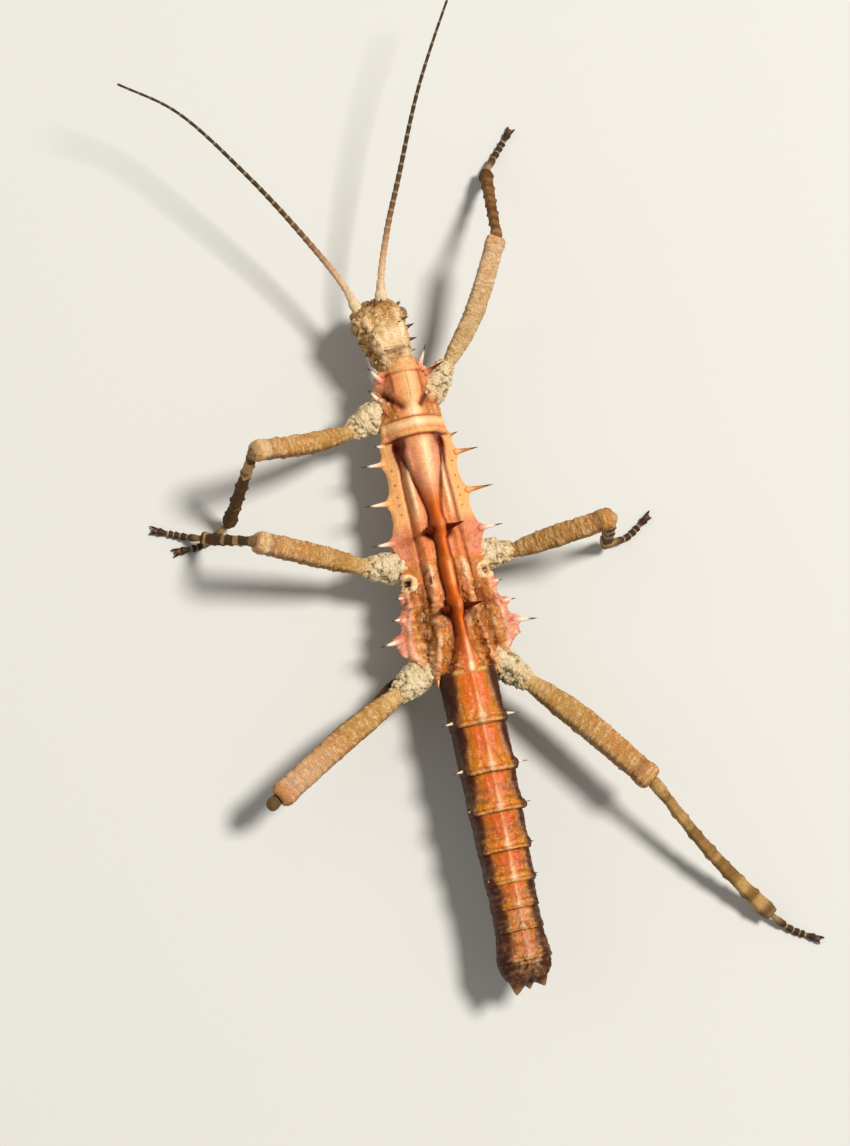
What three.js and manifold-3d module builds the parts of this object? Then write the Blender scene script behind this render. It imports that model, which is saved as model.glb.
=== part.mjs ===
// A spiny ground stick insect, standing, in millimetres: +Z up, head towards +Y, its right side at +X.
import * as THREE from 'three';
import { mergeVertices } from 'three/addons/utils/BufferGeometryUtils.js';
import Module from 'manifold-3d';

const wasm = await Module();
wasm.setup();

// ---- Driving dimensions ----------------------------------------------------------------------

const JOINT_GAP = 0.03; // clear space between two neighbouring body parts
const FLOOR_DEPTH = 2; // how far the block under the floor reaches down
const FEELER_RADIUS = 0.27; // thinnest round section, that of a feeler
const FOOT_RADIUS = 0.28;

// Where one part of the trunk ends and the next begins, from the neck back to the tail tip.
const NECK_Y = 16.05;
const PRONOTUM_END_Y = 12.2;
const MESONOTUM_END_Y = 2.7;
const METANOTUM_END_Y = -4.9;
const ABDOMEN_ENDS_Y = [-8.35, -11.45, -14.0, -16.5, -18.5, -20.15, -21.5, -23.4, -25.1];
const TAIL_DRIFT = 0.35; // the abdomen's tip bends this far to the left

// Cross sections of the thorax. wide is half the breadth at the side flanges, crest the height of the
// middle line, shoulder the height of the ridge beside it, edge the height of the flanges.
const THORAX = [
  { y: 16.05, wide: 1.25, crest: 5.75, shoulder: 5.35, edge: 4.5, belly: 3.3, keel: 0.2, groove: 0.03 },
  { y: 15.5, wide: 1.4, crest: 5.85, shoulder: 5.45, edge: 4.55, belly: 3.1, keel: 0.25, groove: 0.1 },
  { y: 15.1, wide: 1.8, crest: 6.0, shoulder: 5.6, edge: 4.65, belly: 3.0, keel: 0.35, groove: 0.12 },
  { y: 14.0, wide: 1.92, crest: 6.15, shoulder: 5.7, edge: 4.6, belly: 2.9, keel: 0.4, groove: 0.16 },
  { y: 12.9, wide: 1.96, crest: 6.1, shoulder: 5.6, edge: 4.55, belly: 2.85, keel: 0.4, groove: 0.16 },
  { y: 12.2, wide: 2.08, crest: 6.05, shoulder: 5.65, edge: 4.6, belly: 2.8, keel: 0.4, groove: 0.04 },
  { y: 11.1, wide: 2.18, crest: 6.2, shoulder: 5.75, edge: 4.6, belly: 2.75, keel: 0.5, groove: 0.06 },
  { y: 10.2, wide: 2.34, crest: 6.45, shoulder: 5.7, edge: 4.6, belly: 2.7, keel: 0.95, groove: 0.24 },
  { y: 8.5, wide: 2.38, crest: 6.5, shoulder: 5.75, edge: 4.6, belly: 2.65, keel: 0.7, groove: 0.22 },
  { y: 6.6, wide: 2.55, crest: 6.45, shoulder: 5.75, edge: 4.65, belly: 2.6, keel: 0.35, groove: 0.2 },
  { y: 4.6, wide: 2.8, crest: 6.85, shoulder: 5.75, edge: 4.7, belly: 2.55, keel: 0.3, groove: 0.22 },
  { y: 2.7, wide: 2.85, crest: 6.55, shoulder: 5.7, edge: 4.7, belly: 2.5, keel: 0.3, groove: 0.2 },
  { y: 0.8, wide: 2.95, crest: 6.5, shoulder: 5.65, edge: 4.7, belly: 2.45, keel: 0.32, groove: 0.2 },
  { y: -0.7, wide: 3.25, crest: 6.9, shoulder: 5.7, edge: 4.7, belly: 2.4, keel: 0.35, groove: 0.22 },
  { y: -2.2, wide: 3.55, crest: 6.5, shoulder: 5.6, edge: 4.6, belly: 2.4, keel: 0.4, groove: 0.16 },
  { y: -3.3, wide: 3.35, crest: 6.4, shoulder: 5.5, edge: 4.5, belly: 2.45, keel: 0.7, groove: 0.14 },
  { y: -4.2, wide: 2.75, crest: 6.3, shoulder: 5.5, edge: 4.4, belly: 2.55, keel: 1.0, groove: 0.12 },
  { y: -4.9, wide: 2.1, crest: 6.2, shoulder: 5.6, edge: 4.3, belly: 2.65, keel: 0.5, groove: 0.05 },
];
const THORAX_SHOULDER = 0.56; // where the side ridge stands, as a share of the half breadth
const ABDOMEN_SHOULDER = 0.68;

// Half breadth, crest, belly of the abdomen at its front, at each joint and at the tail.
const ABDOMEN_WIDE = [1.9, 1.84, 1.76, 1.71, 1.62, 1.56, 1.5, 1.54, 1.72, 1.05];
const ABDOMEN_CREST = [6.15, 6.1, 6.0, 5.95, 5.85, 5.8, 5.75, 5.75, 5.75, 5.2];
const ABDOMEN_BELLY = [2.8, 2.9, 2.95, 3.0, 3.05, 3.1, 3.1, 3.05, 3.1, 3.7];
const HIND_MARGIN_RISE = 0.1; // each back plate flares this much at its hind margin
const PLATE_RINGS = [0, 0.12, 0.45, 1];
const TAIL_LOBE = { x: 0.82, z: 4.75, radius: 0.36, length: 0.9 };

// Spines on the flanges: one row per pair, placed along y and reaching out to tip.
const MESO_SPINES = [
  { y: 10.55, tip: 2.8, sweep: 0.15, lift: 0.2, radius: 0.25 },
  { y: 9.45, tip: 3.9, sweep: 0.0, lift: 0.25, radius: 0.33 },
  { y: 6.85, tip: 4.3, sweep: 0.0, lift: 0.3, radius: 0.36 },
  { y: 4.25, tip: 4.35, sweep: -0.05, lift: 0.3, radius: 0.36 },
];
const META_SPINES = [
  { y: 0.65, tip: 3.55, sweep: 0.0, lift: 0.15, radius: 0.26 },
  { y: -0.7, tip: 4.15, sweep: 0.0, lift: 0.2, radius: 0.3 },
  { y: -2.0, tip: 5.2, sweep: -0.25, lift: 0.35, radius: 0.42 },
  { y: -2.75, tip: 4.05, sweep: -0.15, lift: 0.1, radius: 0.25 },
];
const ABDOMEN_SPINE_TIPS = [2.6, 2.5, 2.15]; // the first three abdominal plates carry a corner spine
const ABDOMEN_SPINE_RADIUS = 0.3;
const FLANGE_SINK = 0.45; // how deep a spine's root sits in the body
// Spines on the back and neck: root, tip and root radius, as on the right side.
const PRO_BACK_SPINES = [
  { root: [1.15, 15.2, 4.9], tip: [1.72, 16.5, 6.05], radius: 0.28, on: 'right' },
  { root: [1.35, 14.9, 4.7], tip: [2.8, 15.3, 5.6], radius: 0.32, on: 'right' },
  { root: [1.4, 14.8, 4.6], tip: [2.3, 15.75, 5.5], radius: 0.32, on: 'left' },
  { root: [1.65, 13.5, 4.3], tip: [2.5, 14.4, 5.1], radius: 0.28, on: 'left' },
];
const MESO_BACK_SPINES = [{ root: [0.6, 4.45, 5.6], tip: [1.3, 4.3, 7.9], radius: 0.32 }];
const META_BACK_SPINES = [
  { root: [0.65, -0.75, 5.6], tip: [1.45, -0.95, 7.85], radius: 0.32 },
  { root: [1.9, -3.8, 4.9], tip: [2.2, -5.4, 4.75], radius: 0.34 },
];
const HEAD_SPINES = [
  { root: [0.75, 1.0, 5.6], tip: [0.95, 0.9, 6.55], radius: 0.22 },
  { root: [0.85, 1.9, 5.7], tip: [1.05, 1.85, 6.7], radius: 0.22 },
  { root: [1.25, 1.6, 4.9], tip: [1.75, 1.5, 5.25], radius: 0.2 },
];

// The head, along its own axis from the neck to the face.
const HEAD_TURN = THREE.MathUtils.degToRad(10.5); // the head looks a little to the left
const HEAD_ROOT = new THREE.Vector3(-0.3, 16.15, 0);
const HEAD_SHAPE = [
  { y: -0.35, wide: 1.1, top: 5.7, side: 4.7, under: 3.6 },
  { y: 0.1, wide: 1.38, top: 5.9, side: 4.7, under: 3.35 },
  { y: 0.8, wide: 1.6, top: 6.15, side: 4.65, under: 3.2 },
  { y: 1.7, wide: 1.62, top: 6.25, side: 4.6, under: 3.05 },
  { y: 2.6, wide: 1.52, top: 6.15, side: 4.55, under: 2.85 },
  { y: 3.3, wide: 1.42, top: 5.85, side: 4.5, under: 2.7 },
  { y: 3.8, wide: 1.2, top: 5.4, side: 4.3, under: 2.75 },
  { y: 4.05, wide: 0.85, top: 4.9, side: 4.0, under: 3.1 },
];
const HEAD_SIDES = 14;
const HEAD_RINGS = 9;
const EYE = { x: 1.48, y: 2.62, z: 4.95, radius: 0.45, length: 1.0, depth: 0.85 };

// Feelers: the thick root segment and then the whip, as points that a smooth curve passes through.
const SCAPE_LENGTH = 1.25;
const SCAPE_RADIUS = 0.34;
const WHIP_STEP = 1.2; // length of one facet along a whip
const WHIP_SIDES = 6;
const FEELERS = {
  left: [[-1.85, 19.3, 4.9], [-2.6, 21.2, 5.55], [-4.55, 24.6, 6.2], [-7.44, 28.9, 7.1],
    [-11.36, 33.8, 7.9], [-14.78, 36.05, 8.4]],
  right: [[-0.4, 19.6, 4.95], [-0.2, 21.2, 5.6], [0.8, 24.3, 6.25], [2.12, 27.4, 6.85],
    [4.55, 32.95, 7.6], [7.59, 38.4, 8.3], [8.38, 39.65, 8.4]],
};

// Legs: where each joint stands. hip is inside the body, neck the root of the femur, pad the middle
// of the foot and toe its end. fold lists points that a bent shank passes on
// its way down.
const TOE_Z = 0.23; // lower than the foot's radius, so that the floor plane cuts a flat on the sole
const LEGS = {
  fore_right: { hip: [1.3, 13.4, 3.75], neck: [3.0, 15.0, 4.0], knee: [7.7, 22.5, 6.85],
    ankle: [9.35, 28.6, 1.0], pad: [10.55, 30.0, 0.26], toe: [11.7, 31.3, TOE_Z],
    thigh: 0.7, shank: 0.36, swell: 0.04, bow: [0.25, -0.35, 0.1] },
  fore_left: { hip: [-1.3, 13.2, 3.75], neck: [-3.7, 12.1, 3.85], knee: [-11.15, 10.8, 9.15],
    ankle: [-12.5, 8.1, 1.05], pad: [-14.2, 7.2, 0.26], toe: [-15.85, 7.05, TOE_Z],
    thigh: 0.7, shank: 0.36, swell: 0.04, bow: [0.1, -0.25, 0.15] },
  mid_right: { hip: [2.0, 2.7, 3.7], neck: [4.5, 2.45, 3.9], knee: [10.65, 2.75, 8.25],
    ankle: [11.8, 2.35, 1.05], pad: [13.45, 2.6, 0.26], toe: [15.0, 3.6, TOE_Z],
    thigh: 0.76, shank: 0.36, swell: 0.05, bow: [0, 0, 0.1] },
  mid_left: { hip: [-2.0, 2.6, 3.7], neck: [-4.75, 3.0, 4.3], knee: [-12.05, 5.35, 8.0],
    ankle: [-14.3, 7.3, 1.6], pad: [-15.5, 7.95, 0.36], toe: [-17.05, 8.6, TOE_Z],
    thigh: 0.76, shank: 0.36, swell: 0.05, bow: [0, 0, 0.1] },
  hind_right: { hip: [2.1, -3.9, 3.8], neck: [3.7, -5.75, 4.0], knee: [10.2, -13.9, 5.1],
    ankle: [16.95, -23.55, 1.0], pad: [18.3, -24.8, 0.26], toe: [19.8, -25.7, TOE_Z],
    thigh: 0.9, shank: 0.4, swell: 0.12, bow: [0.1, 0.1, 0.25], fold: [[13.35, -18.9, 3.1]] },
  hind_left: { hip: [-2.1, -3.9, 3.8], neck: [-4.3, -5.2, 4.05], knee: [-13.5, -10.4, 5.2],
    ankle: [-3.9, -4.3, 1.0], pad: [-2.5, -3.45, 0.26], toe: [-0.9, -2.8, TOE_Z],
    thigh: 0.9, shank: 0.4, swell: 0.12, bow: [-0.1, 0.1, 0.25],
    fold: [[-14.1, -10.75, 4.85], [-14.0, -10.7, 4.1], [-13.2, -10.2, 3.75]] },
};
const HIP_RADIUS = 0.95;
const HIP_LAP = 0.02; // a hip runs past the femur's root by this share of the femur
const HIP_SIDES = 10;
const HIP_RINGS = 4;
const NECK_RADIUS = 0.56;
const LIMB_SIDES = 8;
const LIMB_RINGS = 8;
const FOOT_RINGS = 5;
const SHANK_CROWD = 1.5; // the rings of a shank stand closer together by the knee
const CLAW = { length: 0.5, radius: 0.16, spread: 0.28, sink: 0.25, tipZ: 0.1 };
// Thickness along a femur and a shank, as [share of the length, share of the full radius].
const THIGH_PROFILE = [[0, 0.6], [0.1, 0.66], [0.28, 0.98], [0.55, 1.0], [0.85, 0.95], [0.94, 1.06],
  [1, 0.72]];
const SHANK_PROFILE = [[0, 0.9], [0.06, 1.1], [0.16, 0.9], [0.5, 0.95], [0.84, 1.0], [0.93, 1.1], [1, 0.85]];

// ---- Materials -------------------------------------------------------------------------------

const finish = (color, roughness) => new THREE.MeshStandardMaterial({ color, roughness, metalness: 0 });
const MATERIALS = {
  straw: finish('#b98d5a', 0.75),
  salmon: finish('#c9683a', 0.5),
  brown: finish('#9a6a43', 0.65),
  rust: finish('#a8391c', 0.45),
  thigh: finish('#a8743f', 0.6),
  shank: finish('#6d4a28', 0.6),
  foot: finish('#3c281c', 0.55),
  eye: finish('#5a4630', 0.2),
  feeler: finish('#5b4a31', 0.55),
};

// ---- Solids ----------------------------------------------------------------------------------

const vec = (p) => new THREE.Vector3(...p);
const mirrored = ([x, y, z], side) => [x * side, y, z];
const SIDES_OF_BODY = { right: 1, left: -1 };

// A closed three.js geometry as a solid that can be joined and cut.
function solid(geometry) {
  const bare = geometry.clone();
  bare.deleteAttribute('normal');
  bare.deleteAttribute('uv');
  const merged = mergeVertices(bare, 1e-5);
  return new wasm.Manifold(new wasm.Mesh({
    numProp: 3,
    vertProperties: new Float32Array(merged.attributes.position.array),
    triVerts: new Uint32Array(merged.index.array),
  }));
}

function part(name, body, material) {
  const { vertProperties, triVerts } = body.getMesh();
  const geometry = new THREE.BufferGeometry();
  geometry.setAttribute('position', new THREE.BufferAttribute(vertProperties, 3));
  geometry.setIndex(new THREE.BufferAttribute(triVerts, 1));
  geometry.computeVertexNormals();
  const mesh = new THREE.Mesh(geometry, material);
  mesh.name = name;
  return mesh;
}

// Straight interpolation in a table of [place, value] rows.
function along(table, place) {
  const next = Math.max(1, table.findIndex(([at], i) => i > 0 && at >= place));
  const [[a, from], [b, to]] = [table[next - 1], table[next]];
  return from + ((to - from) * (place - a)) / (b - a);
}

// A capped cylinder whose rings are moved: place(t, corner, onRim) gives each vertex its point.
function rings(sides, steps, place) {
  const geometry = new THREE.CylinderGeometry(1, 1, 1, sides, steps);
  const points = geometry.attributes.position;
  for (let i = 0; i < points.count; i += 1) {
    const [x, y, z] = [points.getX(i), points.getY(i), points.getZ(i)];
    const corner = Math.round((Math.atan2(x, z) / (2 * Math.PI)) * sides + sides) % sides;
    const target = place(y + 0.5, corner, Math.hypot(x, z) > 0.5);
    points.setXYZ(i, target.x, target.y, target.z);
  }
  return solid(geometry);
}

// Right half of a trunk section from the crest to the belly, as [x, z] points.
function halfSection(s, shoulderAt) {
  const ridge = s.wide * shoulderAt;
  const keel = Math.min(s.keel, ridge - 0.35);
  return [
    [0, s.crest],
    [keel, s.crest - 0.18 - keel * 0.12],
    [keel + 0.2, s.crest - 0.3 - keel * 0.12 - s.groove],
    [ridge, s.shoulder],
    [ridge + s.wide * 0.14, s.shoulder - (s.shoulder - s.edge) * 0.35 - s.groove],
    [s.wide, s.edge],
    [s.wide * 0.92, s.edge - 0.4],
    [s.wide * 0.8, (s.edge + s.belly) / 2 - 0.25],
    [s.wide * 0.52, s.belly + 0.12],
    [0, s.belly],
  ];
}

const HALF_CORNERS = 9; // steps from the crest to the belly in halfSection
const TRUNK_SIDES = 2 * HALF_CORNERS;

// A length of the trunk with a ring at each place, from back to front. sectionAt gives the section at
// y; grow makes it thicker.
function trunk(places, sectionAt, shoulderAt, grow) {
  const steps = places.length - 1;
  return rings(TRUNK_SIDES, steps, (t, corner, onRim) => {
    const y = places[Math.round(t * steps)];
    const section = sectionAt(y);
    const centre = new THREE.Vector3(section.x ?? 0, y, (section.edge + section.belly) / 2);
    if (!onRim) {
      return centre;
    }
    const side = corner > HALF_CORNERS ? -1 : 1;
    const [x, z] = halfSection(section, shoulderAt)[side > 0 ? corner : TRUNK_SIDES - corner];
    const point = new THREE.Vector3(centre.x + side * x, y, z);
    const out = new THREE.Vector3(point.x - centre.x, 0, point.z - centre.z).normalize();
    return point.addScaledVector(out, grow);
  });
}

function thoraxAt(y) {
  const next = Math.max(1, THORAX.findIndex((s, i) => i > 0 && s.y <= y));
  const [front, back] = [THORAX[next - 1], THORAX[next]];
  const share = (front.y - y) / (front.y - back.y);
  const section = {};
  for (const key of Object.keys(front)) {
    section[key] = front[key] + (back[key] - front[key]) * share;
  }
  return section;
}

function thoraxPart(front, back, grow = 0) {
  const between = THORAX.map((s) => s.y).filter((y) => y < front - JOINT_GAP && y > back + JOINT_GAP);
  return trunk([back, ...between.reverse(), front], thoraxAt, THORAX_SHOULDER, grow);
}

const ABDOMEN_JOINTS_Y = [METANOTUM_END_Y, ...ABDOMEN_ENDS_Y];

function abdomenAt(y) {
  const last = ABDOMEN_JOINTS_Y.length - 1;
  const next = Math.min(last, Math.max(1, ABDOMEN_JOINTS_Y.findIndex((end, i) => i > 0 && end <= y)));
  const [front, back] = [ABDOMEN_JOINTS_Y[next - 1], ABDOMEN_JOINTS_Y[next]];
  const share = (front - y) / (front - back);
  const blend = (row) => row[next - 1] + (row[next] - row[next - 1]) * share;
  const flare = next === last ? 0 : HIND_MARGIN_RISE * share ** 3;
  const reach = (METANOTUM_END_Y - y) / (METANOTUM_END_Y - ABDOMEN_JOINTS_Y[last]);
  const crest = blend(ABDOMEN_CREST) + flare;
  return {
    x: -TAIL_DRIFT * reach ** 2,
    wide: blend(ABDOMEN_WIDE) + flare,
    crest,
    shoulder: crest - 0.42,
    edge: 0.45 * crest + 0.55 * blend(ABDOMEN_BELLY),
    belly: blend(ABDOMEN_BELLY),
    keel: 0.3,
    groove: 0,
  };
}

// A tapered tube through points. radiusAt(share) is its radius at a share of its length, side is the
// way its width is laid, and crowd above 1 sets its rings closer together near the start.
function tube(points, radiusAt, side, sides, steps, crowd = 1) {
  const curve = new THREE.CatmullRomCurve3(points, false, 'centripetal');
  return rings(sides, steps, (place, corner, onRim) => {
    const t = place ** crowd;
    const centre = curve.getPointAt(t);
    if (!onRim) {
      return centre;
    }
    const ahead = curve.getTangentAt(t);
    const across = side.clone().addScaledVector(ahead, -side.dot(ahead)).normalize();
    const up = new THREE.Vector3().crossVectors(across, ahead);
    const angle = ((corner + 0.5) / sides) * 2 * Math.PI;
    const radius = radiusAt(t);
    return centre
      .addScaledVector(across, Math.sin(angle) * radius)
      .addScaledVector(up, Math.cos(angle) * radius);
  });
}

// A pointed spine from a root inside the body to its tip.
function spine(root, tip, radius, sides = 5) {
  const [base, end] = [vec(root), vec(tip)];
  const reach = end.clone().sub(base);
  const cone = new THREE.CylinderGeometry(0.02, radius, reach.length(), sides);
  cone.applyQuaternion(new THREE.Quaternion().setFromUnitVectors(new THREE.Vector3(0, 1, 0),
    reach.clone().normalize()));
  cone.translate(...base.add(end).multiplyScalar(0.5).toArray());
  return solid(cone);
}

// Joins spines to a body. A row stands on both sides unless on names one.
function withSpines(body, rows) {
  let whole = body;
  for (const { root, tip, radius, on } of rows) {
    for (const side of on ? [SIDES_OF_BODY[on]] : Object.values(SIDES_OF_BODY)) {
      whole = whole.add(spine(mirrored(root, side), mirrored(tip, side), radius));
    }
  }
  return whole;
}

// Flange spines stand on the edge of the section at their place.
function flangeSpines(rows, sectionAt) {
  return rows.map(({ y, tip, sweep, lift, radius }) => {
    const { wide, edge } = sectionAt(y);
    return { root: [wide - FLANGE_SINK, y, edge - 0.1], tip: [tip, y + sweep, edge + lift], radius };
  });
}

// ---- Trunk -----------------------------------------------------------------------------------

const THORAX_PARTS = {
  prothorax: { front: NECK_Y, back: PRONOTUM_END_Y, spines: PRO_BACK_SPINES, material: MATERIALS.salmon },
  mesothorax: { front: PRONOTUM_END_Y, back: MESONOTUM_END_Y, material: MATERIALS.salmon,
    spines: [...flangeSpines(MESO_SPINES, thoraxAt), ...MESO_BACK_SPINES] },
  metathorax: { front: MESONOTUM_END_Y, back: METANOTUM_END_Y, material: MATERIALS.brown,
    spines: [...flangeSpines(META_SPINES, thoraxAt), ...META_BACK_SPINES] },
};
const thorax = new THREE.Group();
let thoraxClearance = thoraxPart(NECK_Y, METANOTUM_END_Y, JOINT_GAP);
for (const [name, { front, back, spines, material }] of Object.entries(THORAX_PARTS)) {
  thorax.add(part(name, withSpines(thoraxPart(front, back + JOINT_GAP), spines), material));
  thoraxClearance = withSpines(thoraxClearance, spines.map((s) => ({ ...s, radius: s.radius + JOINT_GAP })));
}

// The rings of a plate crowd towards its hind margin, which flares.
function abdomenSegment(index) {
  const [front, back] = [ABDOMEN_JOINTS_Y[index], ABDOMEN_JOINTS_Y[index + 1]];
  const isTail = index === ABDOMEN_ENDS_Y.length - 1;
  const end = isTail ? back : back + JOINT_GAP;
  const places = PLATE_RINGS.map((share) => end + (front - end) * share);
  const body = trunk(places, abdomenAt, ABDOMEN_SHOULDER, 0);
  if (isTail) {
    const { x, z, radius, length } = TAIL_LOBE;
    const middle = abdomenAt(back).x;
    return Object.values(SIDES_OF_BODY).reduce((whole, side) => whole.add(spine(
      [middle + side * x * 0.9, back + length, z],
      [middle + side * x, back - 0.05, z - 0.15],
      radius,
    )), body);
  }
  if (index < ABDOMEN_SPINE_TIPS.length) {
    const { wide, edge } = abdomenAt(back + 0.4);
    const root = [wide - FLANGE_SINK, back + 0.55, edge + 0.1];
    const tip = [ABDOMEN_SPINE_TIPS[index], back + 0.3, edge + 0.35];
    return withSpines(body, [{ root, tip, radius: ABDOMEN_SPINE_RADIUS }]);
  }
  return body;
}

const abdomen = new THREE.Group();
ABDOMEN_ENDS_Y.forEach((_, index) => {
  abdomen.add(part(`abdomen_${index + 2}`, abdomenSegment(index), MATERIALS.rust));
});

// ---- Head ------------------------------------------------------------------------------------

const turnHead = new THREE.Matrix4().makeRotationZ(HEAD_TURN).setPosition(HEAD_ROOT);
const inHead = (p) => vec(p).applyMatrix4(turnHead);

function headSolid(grow) {
  const first = HEAD_SHAPE[0].y;
  const last = HEAD_SHAPE[HEAD_SHAPE.length - 1].y;
  const column = (key) => HEAD_SHAPE.map((s) => [s.y, s[key]]);
  return rings(HEAD_SIDES, HEAD_RINGS, (t, corner, onRim) => {
    const y = first + (last - first) * t;
    const [wide, top, side, under] = ['wide', 'top', 'side', 'under'].map((key) => along(column(key), y));
    const angle = (corner / HEAD_SIDES) * 2 * Math.PI;
    const reach = onRim ? 1 : 0;
    const rise = Math.cos(angle) > 0 ? top - side : side - under;
    const round = Math.sign(Math.cos(angle)) * Math.abs(Math.cos(angle)) ** 0.8;
    const x = (wide + grow) * Math.sin(angle) * reach;
    return inHead([x, y + (t > 0.5 ? grow : -grow), side + (rise + grow) * round * reach]);
  });
}

function eyeball(side, grow) {
  const ball = new THREE.SphereGeometry(1, 10, 8);
  ball.scale(EYE.radius + grow, EYE.length / 2 + grow, EYE.depth / 2 + grow);
  ball.translate(side * EYE.x, EYE.y, EYE.z);
  ball.applyMatrix4(turnHead);
  return solid(ball);
}

const headSpines = HEAD_SPINES.flatMap((s) => Object.values(SIDES_OF_BODY).map((side) => spine(
  inHead(mirrored(s.root, side)).toArray(),
  inHead(mirrored(s.tip, side)).toArray(),
  s.radius,
)));
const skull = headSpines.reduce((whole, s) => whole.add(s), headSolid(0))
  .subtract(eyeball(1, JOINT_GAP))
  .subtract(eyeball(-1, JOINT_GAP))
  .subtract(thoraxClearance);
const skullClearance = headSolid(JOINT_GAP);

const head = new THREE.Group();
head.add(part('head', skull, MATERIALS.straw));

for (const [name, side] of Object.entries(SIDES_OF_BODY)) {
  head.add(part(`eye_${name}`, eyeball(side, 0), MATERIALS.eye));
  const path = new THREE.CatmullRomCurve3(FEELERS[name].map(vec), false, 'centripetal');
  const share = SCAPE_LENGTH / path.getLength();
  const level = new THREE.Vector3(0, 0, 1);
  const root = [0, 0.5, 1].map((t) => path.getPointAt(t * share));
  const scape = tube(root, () => SCAPE_RADIUS, level, LIMB_SIDES, 3).subtract(skullClearance);
  const steps = Math.round(path.getLength() / WHIP_STEP);
  const start = share + JOINT_GAP / path.getLength();
  const whip = Array.from({ length: steps + 1 }, (_, i) => path.getPointAt(
    start + (1 - start) * (i / steps),
  ));
  head.add(
    part(`antenna_root_${name}`, scape, MATERIALS.straw),
    part(`antenna_${name}`, tube(whip, () => FEELER_RADIUS, level, WHIP_SIDES, steps), MATERIALS.feeler),
  );
}

// ---- Legs ------------------------------------------------------------------------------------

const floorBlock = new THREE.BoxGeometry(100, 100, FLOOR_DEPTH);
floorBlock.translate(0, 0, -FLOOR_DEPTH / 2);
const underFloor = solid(floorBlock);

function bowed(from, to, bow) {
  const middle = from.clone().lerp(to, 0.45).add(vec(bow));
  return [from, middle, to];
}

function footSolid(ankle, pad, toe, side) {
  const sole = tube([ankle, pad, toe], () => FOOT_RADIUS, side, LIMB_SIDES, FOOT_RINGS);
  const ahead = toe.clone().sub(pad).normalize();
  return Object.values(SIDES_OF_BODY).reduce((foot, hand) => {
    const end = toe.clone().addScaledVector(ahead, CLAW.length).addScaledVector(side, hand * CLAW.spread);
    end.z = CLAW.tipZ;
    const start = toe.clone().addScaledVector(ahead, -CLAW.sink);
    return foot.add(spine(start.toArray(), end.toArray(), CLAW.radius));
  }, sole).subtract(underFloor);
}

function leg(name, size) {
  const joints = ['hip', 'neck', 'knee', 'ankle', 'pad', 'toe'];
  const [hip, neck, knee, ankle, pad, toe] = joints.map((joint) => vec(size[joint]));
  const side = new THREE.Vector3(0, 0, 1).cross(knee.clone().sub(neck)).normalize();
  const thighAt = (grow) => (t) => size.thigh * along(THIGH_PROFILE, t) + grow;
  const shankAt = (grow) => (t) => size.shank * along(SHANK_PROFILE, t) + size.swell * t + grow;
  const hipAt = (grow) => (t) => HIP_RADIUS + (NECK_RADIUS - HIP_RADIUS) * t + grow;
  const hipEnd = neck.clone().lerp(knee, HIP_LAP);
  const hipTube = (grow) => tube([hip, hip.clone().lerp(hipEnd, 0.5), hipEnd], hipAt(grow), side, HIP_SIDES,
    HIP_RINGS);
  const thighTube = (grow) => tube(bowed(neck, knee, size.bow), thighAt(grow), side, LIMB_SIDES, LIMB_RINGS);
  const shankPath = [knee, ...(size.fold ?? []).map(vec), ankle];
  const shankTube = (grow) => tube(shankPath, shankAt(grow), side, LIMB_SIDES, LIMB_RINGS + 1,
    SHANK_CROWD);
  const parts = new THREE.Group();
  parts.add(
    part(`coxa_${name}`, hipTube(0).subtract(thoraxClearance), MATERIALS.straw),
    part(`femur_${name}`, thighTube(0).subtract(hipTube(JOINT_GAP)), MATERIALS.thigh),
    part(`tibia_${name}`, shankTube(0).subtract(thighTube(JOINT_GAP)), MATERIALS.shank),
    part(`tarsus_${name}`, footSolid(ankle, pad, toe, side).subtract(shankTube(JOINT_GAP)), MATERIALS.foot),
  );
  return parts;
}

// ---- Whole animal ----------------------------------------------------------------------------

const group = new THREE.Group();
group.add(head, thorax, abdomen);
for (const [name, size] of Object.entries(LEGS)) {
  group.add(leg(name, size));
}

// The origin is on the floor, under the middle of the box round the whole animal.
const box = new THREE.Box3().setFromObject(group, true);
const middle = box.getCenter(new THREE.Vector3());
group.position.set(-middle.x, -middle.y, -box.min.z);

export default group;
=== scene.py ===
"""A spiny ground stick insect, standing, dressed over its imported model.

Shapes are worked out in millimetres with the animal's middle line at x 0, the head towards +Y and the
floor at z 0, and are laid into the frame in metres when a piece is finished.
"""

import math

import bmesh
import bpy
import numpy as np
from bpy.props import FloatProperty, FloatVectorProperty, PointerProperty
from mathutils import Matrix, Vector


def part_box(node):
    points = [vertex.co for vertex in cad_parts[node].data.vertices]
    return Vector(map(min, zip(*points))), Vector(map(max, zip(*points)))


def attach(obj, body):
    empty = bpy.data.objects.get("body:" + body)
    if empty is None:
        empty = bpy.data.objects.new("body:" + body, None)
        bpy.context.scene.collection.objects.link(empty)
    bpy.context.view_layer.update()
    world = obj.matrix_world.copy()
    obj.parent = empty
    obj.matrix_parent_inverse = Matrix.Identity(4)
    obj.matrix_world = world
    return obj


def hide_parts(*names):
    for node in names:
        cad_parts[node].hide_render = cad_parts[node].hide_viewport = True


bl_info = {
    "name": "Spiny stick insect",
    "version": (1, 0, 0),
    "blender": (4, 5, 0),
    "location": "View3D > Sidebar > Insect",
    "description": "Builds the skin, legs, feelers and eyes of a spiny ground stick insect",
    "category": "Add Mesh",
}

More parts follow.
